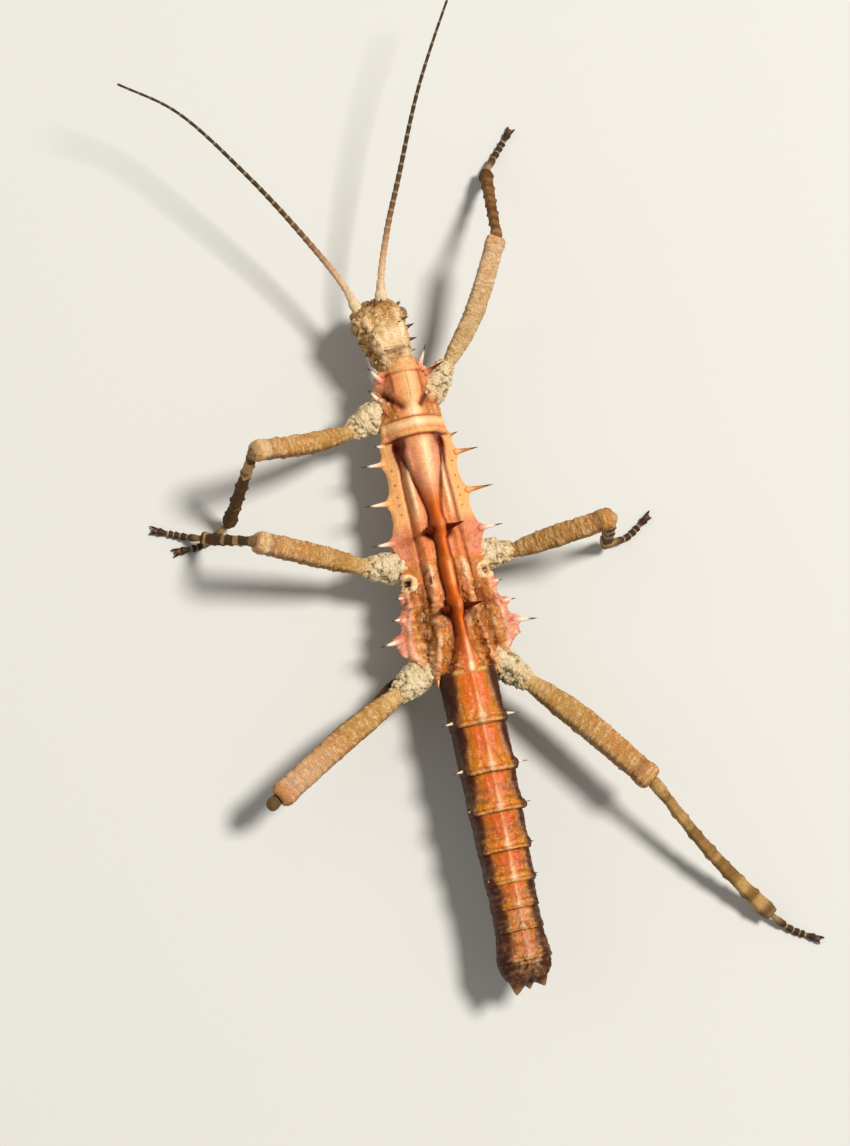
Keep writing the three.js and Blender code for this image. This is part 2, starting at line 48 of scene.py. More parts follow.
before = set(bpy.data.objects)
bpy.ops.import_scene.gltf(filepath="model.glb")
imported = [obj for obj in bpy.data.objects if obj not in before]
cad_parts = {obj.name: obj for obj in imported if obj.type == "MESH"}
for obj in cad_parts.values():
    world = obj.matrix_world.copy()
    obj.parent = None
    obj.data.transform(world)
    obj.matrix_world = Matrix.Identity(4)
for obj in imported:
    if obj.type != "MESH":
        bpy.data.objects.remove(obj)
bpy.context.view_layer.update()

MM = 0.001
MESONOTUM_FRONT = 12.2
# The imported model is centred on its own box, so the middle line and the floor are found from two nodes.
_low, _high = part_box("metathorax")
_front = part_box("mesothorax")[1].y
ANIMAL_ORIGIN = Vector(((_low.x + _high.x) / 2, _front - MESONOTUM_FRONT * MM, 0))

# ---- Shape tables, in millimetres ----------------------------------------------------------------

# Thorax from back to front: place, half breadth, crest, shoulder, flange edge, belly.
THORAX = [
    (-5.3, 1.8, 6.12, 5.5, 4.3, 2.8), (-4.9, 2.1, 6.2, 5.6, 4.3, 2.65), (-4.2, 2.75, 6.3, 5.5, 4.4, 2.55),
    (-3.3, 3.3, 6.4, 5.5, 4.5, 2.45), (-2.2, 3.4, 6.5, 5.6, 4.6, 2.4), (-0.7, 3.15, 6.5, 5.7, 4.7, 2.4),
    (0.8, 2.9, 6.45, 5.65, 4.7, 2.45), (2.7, 2.8, 6.5, 5.7, 4.7, 2.5), (4.6, 2.68, 6.5, 5.75, 4.7, 2.55),
    (6.6, 2.45, 6.45, 5.75, 4.65, 2.6), (8.5, 2.3, 6.5, 5.75, 4.6, 2.65), (10.2, 2.28, 6.45, 5.7, 4.6, 2.7),
    (11.1, 2.15, 6.2, 5.75, 4.6, 2.75), (12.2, 2.05, 6.05, 5.65, 4.6, 2.8),
    (12.9, 1.96, 6.1, 5.6, 4.55, 2.85), (14.0, 1.92, 6.15, 5.7, 4.6, 2.9), (15.1, 1.78, 6.0, 5.6, 4.65, 3.0),
    (15.5, 1.45, 5.85, 5.45, 4.55, 3.1), (16.05, 1.25, 5.75, 5.35, 4.5, 3.3),
]
# Place and half breadth of the raised middle: the neck plate, the long wedge and the keel behind it.
MIDDLE_WIDTH = [
    (-5.3, 1.2), (-4.9, 1.1), (-4.4, 0.86), (-3.9, 0.62), (-3.3, 0.42), (-2.7, 0.28), (-2.2, 0.22),
    (-1.6, 0.22), (-0.9, 0.38), (-0.4, 0.4), (0.3, 0.3), (1.2, 0.34), (2.3, 0.37), (2.7, 0.28), (3.6, 0.23),
    (4.3, 0.42), (4.8, 0.42), (5.4, 0.3), (6.3, 0.4), (7.0, 0.55), (8.0, 0.8),
    (9.3, 1.08), (10.3, 1.32), (10.75, 1.5), (11.2, 1.75), (12.0, 1.65), (12.4, 1.05), (13.6, 1.15),
    (15.0, 1.05), (16.05, 1.0),
]
# Place and height of the ridge on each side of the middle.
SIDE_RIDGE = [(-5.3, 0.0), (-3.0, 0.0), (-1.2, 0.2), (0.5, 0.34), (2.2, 0.34), (4.0, 0.32), (6.0, 0.38),
              (9.0, 0.42), (10.2, 0.3), (10.7, 0.05), (16.05, 0.0)]
# Place of the fold that runs back to each lobe, and its distance from the middle line.
SIDE_FOLD = [(-5.3, 2.1), (-4.4, 1.86), (-3.4, 1.62), (-2.2, 1.4), (-1.0, 1.27), (0.5, 1.16), (2.4, 1.12)]
# Where the rings of the thorax meet: the hind ring, the collar, the neck plate and the head.
HIND_JOINT, COLLAR_JOINT, NECK_JOINT, HEAD_JOINT = 2.52, 10.72, 11.98, 15.02
JOINT_DEPTHS = [(COLLAR_JOINT, 0.15), (NECK_JOINT, 0.15), (HEAD_JOINT, 0.12), (HIND_JOINT, 0.06)]
# Slanting furrow on each side of the neck plate: its two ends, across and along.
NECK_FURROW = ((2.1, 14.6), (0.62, 12.75))
# How far the outer furrow and the outer ridges lie from the middle line.
OUTER_FURROW, RIDGE_OUT = 1.53, 1.1
KNOBS = [(0.06, 4.55, 0.4), (0.1, -0.68, 0.42)]  # across, along, height
PITS = [  # across, along, radius, depth
    (1.36, 10.25, 0.3, 0.3), (0.62, 4.25, 0.3, 0.24), (0.7, -0.95, 0.36, 0.24), (2.08, -3.87, 0.12, 0.2),
]
FLANGE_DOTS = [(2.02, 8.9), (2.02, 7.9), (2.02, 7.1), (2.02, 6.55), (2.02, 5.9)]  # across, along
BREATHING_HOLE = (2.58, 1.46)
FLANGE_SPINES = [  # place, tip, sweep, lift, radius
    (10.55, 2.8, 0.15, 0.2, 0.15), (9.45, 3.9, 0.0, 0.25, 0.2), (6.85, 4.3, 0.0, 0.3, 0.21),
    (4.25, 4.35, -0.05, 0.3, 0.22), (0.65, 3.55, 0.0, 0.15, 0.13), (-0.7, 4.15, 0.0, 0.2, 0.16),
    (-2.0, 5.2, -0.25, 0.35, 0.26), (-2.75, 4.05, -0.15, 0.1, 0.13),
]
BACK_SPINES = [  # side, root, tip, radius
    (1, (1.1, 15.1, 5.0), (1.72, 16.5, 6.05), 0.24), (1, (1.35, 14.8, 4.85), (2.8, 15.3, 5.6), 0.28),
    (-1, (1.35, 14.7, 4.75), (2.3, 15.75, 5.5), 0.26), (-1, (1.6, 13.4, 4.5), (2.5, 14.4, 5.1), 0.26),
    (1, (0.5, 4.45, 5.75), (1.3, 4.3, 7.9), 0.3), (-1, (0.5, 4.45, 5.75), (1.3, 4.3, 7.9), 0.3),
    (1, (0.55, -0.75, 5.75), (1.45, -0.95, 7.85), 0.3), (-1, (0.55, -0.75, 5.75), (1.45, -0.95, 7.85), 0.3),
    (1, (1.62, -3.3, 4.85), (2.1, -5.3, 4.9), 0.5), (-1, (1.62, -3.3, 4.85), (2.05, -5.45, 4.9), 0.5),
]

# Joints between the plates from the front to the tail, and the sizes at each of them.
ABDOMEN_JOINTS = [-4.9, -8.35, -11.45, -14.0, -16.5, -18.5, -20.15, -21.5, -23.4, -25.1]
ABDOMEN_WIDE = [1.85, 1.8, 1.74, 1.68, 1.6, 1.54, 1.48, 1.52, 1.7, 1.02]
ABDOMEN_CREST = [6.15, 6.1, 6.0, 5.95, 5.85, 5.8, 5.75, 5.75, 5.7, 5.2]
ABDOMEN_BELLY = [2.8, 2.9, 2.95, 3.0, 3.05, 3.1, 3.1, 3.05, 3.1, 3.7]
# Spines at the rear corners of the plates: plate and how far out the tip reaches.
ABDOMEN_SPINES = [(0, 2.62), (1, 2.5), (2, 2.15), (3, 1.85), (4, 1.72)]
ABDOMEN_REAR, ABDOMEN_FRONT = -24.8, -4.75
TAIL_DRIFT = 0.35
# Lobes of the tail: root across, along and up, then tip, then radius. Across is from the bent middle.
TAIL_LOBES = [
    ((0.55, -23.9, 4.6), (0.95, -25.15, 4.65), 0.98), ((-0.55, -23.9, 4.6), (-0.95, -25.4, 4.65), 0.98),
    ((0.0, -23.7, 4.2), (0.1, -25.15, 3.95), 0.95),
]
PLATE_WIDE = [1.2, 1.24, 1.3, 1.3, 1.2, 0.98, 0.88, 0.9, 0.95, 0.9]  # bright plate's half breadth

HEAD_TURN = math.radians(10.5)
HEAD_ROOT = (-0.3, 16.15)
HEAD = [  # place, half breadth, top, side, under
    (-0.5, 0.98, 5.6, 4.7, 3.7), (0.1, 1.26, 5.9, 4.7, 3.35), (0.8, 1.44, 6.15, 4.65, 3.2),
    (1.7, 1.54, 6.25, 4.6, 3.05), (2.6, 1.5, 6.15, 4.55, 2.85), (3.3, 1.46, 5.85, 4.5, 2.7),
    (3.8, 1.28, 5.45, 4.3, 2.75), (4.05, 0.9, 4.95, 4.0, 3.1),
]
MOUTH_PARTS = [  # points, radius, colour at the root and at the end, for the right side
    ([(0.02, 4.12, 3.6), (0.22, 4.2, 3.3), (0.3, 4.1, 2.98)], 0.33, "straw", "hip"),  # upper lip
    ([(0.85, 3.6, 3.85), (0.74, 4.02, 3.3), (0.2, 4.0, 2.8)], 0.36, "bark", "horn"),  # jaw
    ([(0.5, 3.5, 3.1), (0.78, 3.85, 2.7), (0.84, 4.1, 2.25), (0.76, 4.2, 1.8), (0.6, 4.1, 1.45)],
     0.17, "straw", "bark"),  # long palp
    ([(0.2, 3.2, 2.95), (0.34, 3.55, 2.5), (0.36, 3.65, 2.1), (0.28, 3.55, 1.8)],
     0.13, "straw", "bark"),  # short palp
    ([(0.25, 3.5, 5.15), (0.32, 3.98, 4.75), (0.3, 4.08, 4.3)], 0.2, "straw", "straw"),  # ridge of the brow
]
EYE = {"x": 1.56, "y": 2.62, "z": 5.0, "across": 0.43, "along": 0.46, "up": 0.43}
HEAD_SPINES = [  # root, tip, radius
    ((0.75, 1.0, 5.85), (0.9, 0.9, 6.4), 0.22), ((0.85, 1.9, 5.9), (1.0, 1.85, 6.5), 0.24),
    ((1.2, 1.6, 5.0), (2.0, 1.6, 5.5), 0.3), ((1.1, 0.85, 5.0), (1.85, 0.7, 5.35), 0.27),
    ((1.15, 2.1, 5.5), (1.72, 2.05, 6.0), 0.22), ((0.95, 0.2, 5.0), (1.5, 0.0, 5.25), 0.24),
    ((0.42, 3.45, 5.5), (0.5, 3.8, 6.0), 0.19), ((0.14, 3.6, 5.4), (0.12, 4.0, 5.85), 0.18),
    ((1.0, 2.85, 5.4), (1.62, 3.15, 5.95), 0.28), ((1.3, 3.2, 4.9), (1.8, 3.4, 5.2), 0.18),
    ((0.3, 2.6, 5.95), (0.35, 2.7, 6.35), 0.16), ((0.35, 1.4, 6.0), (0.4, 1.35, 6.4), 0.16),
]

FEELERS = {
    "left": [(-1.75, 19.15, 4.85), (-1.85, 19.3, 4.9), (-2.6, 21.2, 5.55), (-4.55, 24.6, 6.2),
             (-7.44, 28.9, 7.1), (-11.36, 33.8, 7.9), (-14.78, 36.05, 8.4)],
    "right": [(-0.42, 19.45, 4.92), (-0.4, 19.6, 4.95), (-0.2, 21.2, 5.6), (0.8, 24.3, 6.25),
              (2.12, 27.4, 6.85), (4.55, 32.95, 7.6), (7.59, 38.4, 8.3), (8.38, 39.65, 8.4)],
}

# Half thickness of each pair's thighs and shanks, and how much a shank swells towards its end.
LEG_SIZES = {"fore": (0.7, 0.36, 0.04), "mid": (0.76, 0.36, 0.05), "hind": (0.9, 0.4, 0.12)}
LEG_JOINTS = ("hip", "neck", "knee", "ankle", "pad", "toe")
FOOT_CLEARANCE = 0.004
FOOT_JOINTS = np.array([0.0, 0.4, 0.56, 0.69, 0.79, 1.0])  # shares of the foot's length
LEGS = {  # the joints in order, how the thigh bows, and where the shank bends
    "fore_right": ([(1.3, 13.4, 3.75), (3.0, 15.0, 4.0), (7.7, 22.5, 6.85), (9.35, 28.6, 1.0),
        (10.55, 30.0, 0.27), (11.7, 31.3, 0.25)], (0.25, -0.35, 0.1), []),
    "fore_left": ([(-1.3, 13.2, 3.75), (-3.7, 12.1, 3.85), (-11.15, 10.8, 9.15), (-12.5, 8.1, 1.05),
        (-14.2, 7.2, 0.27), (-15.85, 7.05, 0.25)], (0.1, -0.25, 0.15), []),
    "mid_right": ([(2.0, 2.7, 3.7), (4.5, 2.45, 3.9), (10.65, 2.75, 8.25), (11.8, 2.35, 1.05),
        (13.45, 2.6, 0.27), (15.0, 3.6, 0.25)], (0, 0, 0.1), []),
    "mid_left": ([(-2.0, 2.6, 3.7), (-4.75, 3.0, 4.3), (-12.05, 5.35, 8.0), (-14.3, 7.3, 1.6),
        (-15.5, 7.95, 0.36), (-17.05, 8.6, 0.25)], (0, 0, 0.1), []),
    "hind_right": ([(2.1, -3.9, 3.8), (3.7, -5.75, 4.0), (10.2, -13.9, 5.1), (16.95, -23.55, 1.0),
        (18.3, -24.8, 0.27), (19.8, -25.7, 0.25)], (0.1, 0.1, 0.25), [(13.35, -18.9, 3.1)]),
    "hind_left": ([(-2.1, -3.9, 3.8), (-4.3, -5.2, 4.05), (-13.5, -10.4, 5.2), (-3.9, -4.3, 1.0),
        (-2.5, -3.45, 0.27), (-0.9, -2.8, 0.25)], (-0.1, 0.1, 0.25),
        [(-13.85, -10.6, 4.85), (-13.8, -10.6, 4.15), (-13.1, -10.15, 3.75)]),
}
# Thickness along a thigh and a shank, as a share of the leg's own size.
THIGH_PROFILE = [(0, 0.6), (0.05, 0.58), (0.13, 0.72), (0.28, 0.88), (0.5, 0.94), (0.75, 0.92), (0.87, 0.88),
                 (0.95, 0.97), (0.985, 0.9), (1, 0.72)]
SHANK_PROFILE = [(0, 0.88), (0.03, 1.04), (0.07, 1.0), (0.14, 0.8), (0.5, 0.84), (0.84, 0.92), (0.95, 1.12),
                 (1, 0.92)]
# Thickness along a hip, in millimetres.
HIP_PROFILE = [(0, 0.95), (0.3, 0.98), (0.5, 0.94), (0.66, 0.82), (0.7, 0.74), (0.74, 0.76), (0.86, 0.66),
               (0.93, 0.56), (1, 0.5)]


# ---- Sizes and colours a user may change ----------------------------------------------------------

def paint_code(code):
    """A colour written as a web code, as linear light."""
    parts = [int(code[i:i + 2], 16) / 255 for i in (1, 3, 5)]
    return tuple(c / 12.92 if c <= 0.04045 else ((c + 0.055) / 1.055) ** 2.4 for c in parts)


def length(name, text, default):
    """A length in metres that a user may change."""
    return FloatProperty(name=name, description=text, default=default, unit="LENGTH", subtype="DISTANCE",
                         precision=5)


def angle(name, text, degrees):
    """An angle that a user may change, given in degrees."""
    return FloatProperty(name=name, description=text, default=math.radians(degrees), unit="ROTATION",
                         subtype="ANGLE")


def colour(name, text, code):
    """A colour that a user may change, given as a web code."""
    return FloatVectorProperty(name=name, description=text, default=paint_code(code), subtype="COLOR",
                               size=3, min=0, max=1)


class InsectSizes(bpy.types.PropertyGroup):
    """Sizes of the insect and the place of its camera"""
    feeler_root: length("Feeler root", "Thickness of a feeler next to the head", 0.00052)
    feeler_tip: length("Feeler tip", "Thickness of a feeler at its end", 0.00016)
    grain_height: length("Grain", "Height of the grains on the head and leg bases", 0.00007)
    claw_length: length("Claw", "Length of a claw", 0.00055)
    camera_distance: length("Camera distance", "From the camera to the middle of the back", 0.2)
    lens: FloatProperty(name="Lens", description="Focal length of the camera, in mm", default=97.9)
    lean_left: angle("Lean left", "How far the view leans to the animal's left", 11.4)
    lean_back: angle("Lean back", "How far the view leans to its tail", 9.2)
    roll: angle("Roll", "How far the head points left of straight up", 12.35)


class InsectColours(bpy.types.PropertyGroup):
    """Colours of the insect and its floor"""
    hip: colour("Hips", "Pale crust of the hips", "#d9c59c")
    straw: colour("Straw", "Head and leg bases", "#caa468")
    # Dark straw is painted shade in the creases between grains, and a real dark brown for specks, seams and
    # spine tips.
    straw_dark: colour("Dark straw", "Hollows between the grains", "#54341a")
    salmon: colour("Salmon", "Back of the front body", "#db824c")
    # Cream is the real pale colour of lines, spots and rings, and is also laid as painted highlight on ridge
    # crests and grain tops.
    cream: colour("Cream", "Light lines along the ridges", "#fbdcae")
    peach: colour("Peach", "Collar and side flanges", "#eeae6c")
    # Furrow is laid as painted shade in grooves, pits and hollows, and is the real dark red-brown of some
    # spines and dark patches.
    furrow: colour("Furrow", "Grooves and pits of the back", "#661f06")
    keel: colour("Keel", "The middle ridge", "#dc6405")
    tan: colour("Tan", "Grainy sides of the hind thorax", "#b8722e")
    pink: colour("Pink", "Margins and spine roots", "#db8a72")
    ember: colour("Ember", "Middle of the abdomen", "#cb5819")
    gold: colour("Gold", "Patches at the rear of each plate", "#c67a18")
    # Maroon is painted shade on the abdomen's steep sides, the head's cheeks and in creases, and a real dark
    # mottle on the tail, lobes and feelers.
    maroon: colour("Maroon", "Steep sides of the abdomen", "#3c160a")
    bark: colour("Bark", "Tail and undersides", "#6f4a30")
    thigh: colour("Thigh", "Upper legs", "#ad8142")
    shank: colour("Shank", "Lower legs", "#402610")
    band: colour("Band", "Pale rings on the lower legs", "#c49e66")
    foot: colour("Foot", "Feet", "#3f2a1c")
    horn: colour("Horn", "Spine tips and claws", "#231510")
    ivory: colour("Ivory", "Shafts of the spines", "#f1dcc0")
    eye: colour("Eye", "Eyes", "#96704a")
    feeler: colour("Feeler", "Outer part of the feelers", "#2f2a1c")
    floor: colour("Floor", "The floor", "#cfcec9")


def sizes():
    """The sizes that a user may change."""
    return bpy.context.scene.insect_sizes


def shade(name):
    """A named colour, as linear light."""
    return np.array(getattr(bpy.context.scene.insect_colours, name)[:])


# ---- Curves, noise and small helpers ---------------------------------------------------------------

def smooth(low, high, x):
    """0 at low and 1 at high, with a soft start and end. It falls where low is the greater."""
    t = np.clip((x - low) / (high - low), 0, 1)
    return t * t * (3 - 2 * t)


def bell(x, width):
    """1 where x is 0, fading on both sides."""
    return np.exp(-(x / width) ** 2)


def span(x, low, low_full, high_full, high):
    """1 between the two full places, fading to 0 at low and at high."""
    return smooth(low, low_full, x) * smooth(high, high_full, x)


def spot(x, y, at_x, at_y, width):
    """1 at a place on the back, fading round it."""
    return bell(np.hypot(x - at_x, y - at_y), width)


def flat(x, y):
    """Points on the floor, for noise that ignores height."""
    return np.stack([x, y, y * 0], axis=1)


def through(rows, x):
    """A smooth curve through rows of (place, value), read at x. Places rise."""
    at, value = np.array(rows, float).T
    step = np.diff(at)
    slope = np.diff(value) / step
    both = slope[:-1] + slope[1:]
    same = slope[:-1] * slope[1:] > 0
    inner = np.where(same, 2 * slope[:-1] * slope[1:] / np.where(same, both, 1), 0)
    tangent = np.concatenate([[slope[0]], inner, [slope[-1]]])
    x = np.clip(x, at[0], at[-1])
    i = np.clip(np.searchsorted(at, x) - 1, 0, len(step) - 1)
    t, d = (x - at[i]) / step[i], step[i]
    return (value[i] * (1 + 2 * t) * (1 - t) ** 2 + tangent[i] * d * t * (1 - t) ** 2
            + value[i + 1] * t * t * (3 - 2 * t) + tangent[i + 1] * d * t * t * (t - 1))


class Pigment:
    """The colours of a piece's corners, one under colour with others laid over it."""

    def __init__(self, name, count):
        self.rgb = np.tile(shade(name), (count, 1))

    def lay(self, name, mask):
        """Lays a colour over what is there, as far as the mask goes from 0 to 1 at each corner."""
        mask = np.clip(np.asarray(mask, float), 0, 1)[:, None]
        self.rgb = self.rgb * (1 - mask) + shade(name) * mask


def corner_value(cell, seed):
    """A number from 0 to 1 that belongs to one corner of a lattice."""
    with np.errstate(over="ignore"):
        n = cell[..., 0] * 73856093 ^ cell[..., 1] * 19349663 ^ cell[..., 2] * 83492791 ^ seed * 26544357
        n = (n ^ (n >> 13)) * 1274126177
        n = (n ^ (n >> 16)) & 0xFFFFFF
    return n / float(0xFFFFFF)


CUBE = np.array([(i, j, k) for i in (0, 1) for j in (0, 1) for k in (0, 1)])
AROUND = np.array([(i, j, k) for i in (-1, 0, 1) for j in (-1, 0, 1) for k in (-1, 0, 1)])


def cloud(points, size, seed=1):
    """Soft noise from -1 to 1 with lumps of one size."""
    p = points / size
    cell = np.floor(p).astype(np.int64)
    f = p - cell
    f = f * f * (3 - 2 * f)
    total = 0
    for c in CUBE:
        weight = np.prod(np.where(c, f, 1 - f), axis=1)
        total = total + weight * corner_value(cell + c, seed)
    return total * 2 - 1


def clouds(points, size, seed=1):
    """Soft noise from -1 to 1 with finer lumps on the broad ones."""
    return (cloud(points, size, seed) + 0.5 * cloud(points, size / 2, seed + 7)
            + 0.25 * cloud(points, size / 4, seed + 13)) / 1.75


def crumple(points, size, seed=1):
    """Bark-like relief: 1 on the lumps, 0 in the thin creases between them."""
    total = 0
    for octave, share in enumerate((0.5, 0.32, 0.18)):
        field = cloud(points, size / 2.1 ** octave, seed + 11 * octave)
        total = total + share * np.clip(np.abs(field) * 2.6, 0, 1) ** 0.7
    return total


def grains(points, size, seed=1):
    """Round grains: 1 on top of a grain, 0 between grains."""
    p = points / size
    cell = np.floor(p).astype(np.int64)
    nearest = np.full(len(p), 9.0)
    for c in AROUND:
        at = cell + c
        seat = at + np.stack([corner_value(at, seed + i) for i in (0, 1, 2)], axis=1)
        reach = 0.75 + 0.5 * corner_value(at, seed + 3)
        nearest = np.minimum(nearest, np.linalg.norm(p - seat, axis=1) / reach)
    return np.clip(1 - nearest * 1.35, 0, 1) ** 0.8


def deselect():
    """Leaves edit mode and selects nothing."""
    if bpy.context.object and bpy.context.object.mode != "OBJECT":
        bpy.ops.object.mode_set(mode="OBJECT")
    bpy.ops.object.select_all(action="DESELECT")


def read_corners(obj, what):
    """One property of every corner, as rows of three numbers."""
    numbers = np.empty(len(obj.data.vertices) * 3)
    obj.data.vertices.foreach_get(what, numbers)
    return numbers.reshape(-1, 3)


def corners(obj):
    """Places of a piece's corners, one row each."""
    return read_corners(obj, "co")


def normals(obj):
    """The ways a piece's corners face, one row each."""
    return read_corners(obj, "normal")


def move_corners(obj, points):
    """Puts a piece's corners at new places."""
    obj.data.vertices.foreach_set("co", np.asarray(points, float).ravel())
    obj.data.update()


def tube(name, sides, cuts, place):
    """A closed drum whose rings are cut and moved. place(share, turn, rim) gives every corner its point:
    share runs from 0 to 1 along it, turn goes round from the top and rim is 0 at a cap's middle."""
    deselect()
    bpy.ops.mesh.primitive_cylinder_add(vertices=sides, radius=1, depth=1, end_fill_type="TRIFAN")
    obj = bpy.context.object
    obj.name = name
    bpy.ops.object.mode_set(mode="EDIT")
    bpy.ops.mesh.select_mode(type="EDGE")
    for number in cuts:
        bpy.ops.mesh.select_all(action="DESELECT")
        mesh = bmesh.from_edit_mesh(obj.data)
        for edge in mesh.edges:
            a, b = (v.co for v in edge.verts)
            edge.select_set(abs(a.z - b.z) > 1e-5 and (a.xy - b.xy).length < 1e-4)
        bmesh.update_edit_mesh(obj.data)
        bpy.ops.mesh.subdivide(number_cuts=number)
    bpy.ops.object.mode_set(mode="OBJECT")
    at = corners(obj)
    rim = (np.hypot(at[:, 0], at[:, 1]) > 0.5).astype(float)
    share, turn = at[:, 2] + 0.5, np.arctan2(at[:, 0], at[:, 1])
    move_corners(obj, place(share, turn, rim))
    face_out(obj)
    return obj, share, turn


def pick(*objects):
    """Selects the objects given and nothing else, and makes the first of them active."""
    deselect()
    for obj in objects:
        obj.select_set(True)
    bpy.context.view_layer.objects.active = objects[0]


def face_out(obj):
    """Turns every face outwards."""
    pick(obj)
    bpy.ops.object.mode_set(mode="EDIT")
    bpy.ops.mesh.select_all(action="SELECT")
    bpy.ops.mesh.normals_make_consistent(inside=False)
    bpy.ops.object.mode_set(mode="OBJECT")


def push(obj, amount):
    """Moves every corner along its normal."""
    move_corners(obj, corners(obj) + normals(obj) * np.asarray(amount)[:, None])


def dye(obj, pigment, gloss):
    """Keeps a colour and a shine for every corner, which the skin's material reads."""
    count = len(obj.data.vertices)
    layer = obj.data.attributes.new("pigment", "FLOAT_COLOR", "POINT")
    rgba = np.ones((count, 4))
    rgba[:, :3] = np.clip(pigment, 0, 1)
    layer.data.foreach_set("color", rgba.ravel())
    layer = obj.data.attributes.new("gloss", "FLOAT", "POINT")
    layer.data.foreach_set("value", np.broadcast_to(np.clip(gloss, 0, 1), count).astype(float))


def join(name, parts):
    """Makes one named piece of several."""
    pick(*parts)
    if len(parts) > 1:
        bpy.ops.object.join()
    parts[0].name = parts[0].data.name = name
    return parts[0]


def finish_piece(obj, nodes, material):
    """Lays a piece into the frame in metres, smooths its shading, gives it its material, hangs it under the
    root and hides the imported nodes it replaces.
    """
    pick(obj)
    obj.scale = (MM, MM, MM)
    obj.location = ANIMAL_ORIGIN
    bpy.ops.object.transform_apply(location=True, rotation=True, scale=True)
    bpy.ops.object.shade_smooth()
    obj.data.materials.clear()
    obj.data.materials.append(material)
    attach(obj, "root")
    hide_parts(*nodes)


class Route:
    """A smooth line through points. side is the way its width is laid."""

    def __init__(self, points, side=(0, 0, 1)):
        p = np.array(points, float)
        p = np.vstack([2 * p[0] - p[1], p, 2 * p[-1] - p[-2]])
        line = []
        for a, b, c, d in zip(p, p[1:], p[2:], p[3:]):
            k = [0.0]
            for u, v in ((a, b), (b, c), (c, d)):
                k.append(k[-1] + max(np.linalg.norm(v - u), 1e-6) ** 0.5)
            t = np.linspace(k[1], k[2], 25)[:-1, None]
            ab = (k[1] - t) / (k[1] - k[0]) * a + (t - k[0]) / (k[1] - k[0]) * b
            bc = (k[2] - t) / (k[2] - k[1]) * b + (t - k[1]) / (k[2] - k[1]) * c
            cd = (k[3] - t) / (k[3] - k[2]) * c + (t - k[2]) / (k[3] - k[2]) * d
            abc = (k[2] - t) / (k[2] - k[0]) * ab + (t - k[0]) / (k[2] - k[0]) * bc
            bcd = (k[3] - t) / (k[3] - k[1]) * bc + (t - k[1]) / (k[3] - k[1]) * cd
            line.append((k[2] - t) / (k[2] - k[1]) * abc + (t - k[1]) / (k[2] - k[1]) * bcd)
        self.line = np.vstack([*line, p[-2:-1]])
        steps = np.linalg.norm(np.diff(self.line, axis=0), axis=1)
        self.place = np.concatenate([[0], np.cumsum(steps)])
        self.length = self.place[-1]
        self.side = np.array(side, float)

    def at(self, share):
        """Middle, direction, width direction and upward direction at shares of the length."""
        where = np.clip(share, 0, 1) * self.length
        middle = np.stack([np.interp(where, self.place, self.line[:, i]) for i in range(3)], axis=1)
        ahead = np.stack([np.interp(where, self.place, np.gradient(self.line[:, i], self.place))
                          for i in range(3)], axis=1)
        ahead /= np.linalg.norm(ahead, axis=1)[:, None]
        across = self.side - (ahead @ self.side)[:, None] * ahead
        across /= np.linalg.norm(across, axis=1)[:, None]
        return middle, ahead, across, np.cross(across, ahead)


def limb(name, route, sides, cuts, radius, crowd=1.0):
    """A tube round a route. radius(share, turn) is its thickness there."""
    def place(share, turn, rim):
        share = share ** crowd
        middle, _, across, up = route.at(share)
        reach = (radius(share, turn) * rim)[:, None]
        return middle + across * np.sin(turn)[:, None] * reach + up * np.cos(turn)[:, None] * reach

    obj, share, turn = tube(name, sides, cuts, place)
    return obj, share ** crowd, turn


def spine(root, tip, radius, droop, colours):
    """A sharp spine that flares at its root, pale along its shaft and dark at its tip."""
    root, tip = np.array(root, float), np.array(tip, float)
    middle = (root + tip) / 2 - np.array([0, 0, droop])
    route = Route([root, middle, tip], side=(0, 1, 0.01))
    obj, share, _ = limb("spine", route, 14, (17,), lambda s, turn: radius * (
        0.72 * (1 - s) ** 0.95 + 0.35 * (1 - s) ** 4 + 0.03) * smooth(-0.05, 0.13, s))
    low, shaft, point = colours
    paint = Pigment(low, len(share))
    paint.lay(shaft, smooth(0.12, 0.52, share))
    paint.lay(point, smooth(0.62, 0.84, share))
    dye(obj, paint.rgb, 0.5 + 0.3 * smooth(0.6, 0.9, share))
    return obj


# ---- Materials ---------------------------------------------------------------------------------------

class Term:
    """A socket that sums and products can be written with."""

    def __init__(self, recipe, socket):
        self.recipe, self.socket = recipe, socket

    def __add__(self, other):
        return self.recipe.maths("ADD", self, other)

    def __sub__(self, other):
        return self.recipe.maths("SUBTRACT", self, other)

    def __rsub__(self, other):
        return self.recipe.maths("SUBTRACT", other, self)

    def __mul__(self, other):
        return self.recipe.maths("MULTIPLY", self, other)

    __radd__, __rmul__ = __add__, __mul__


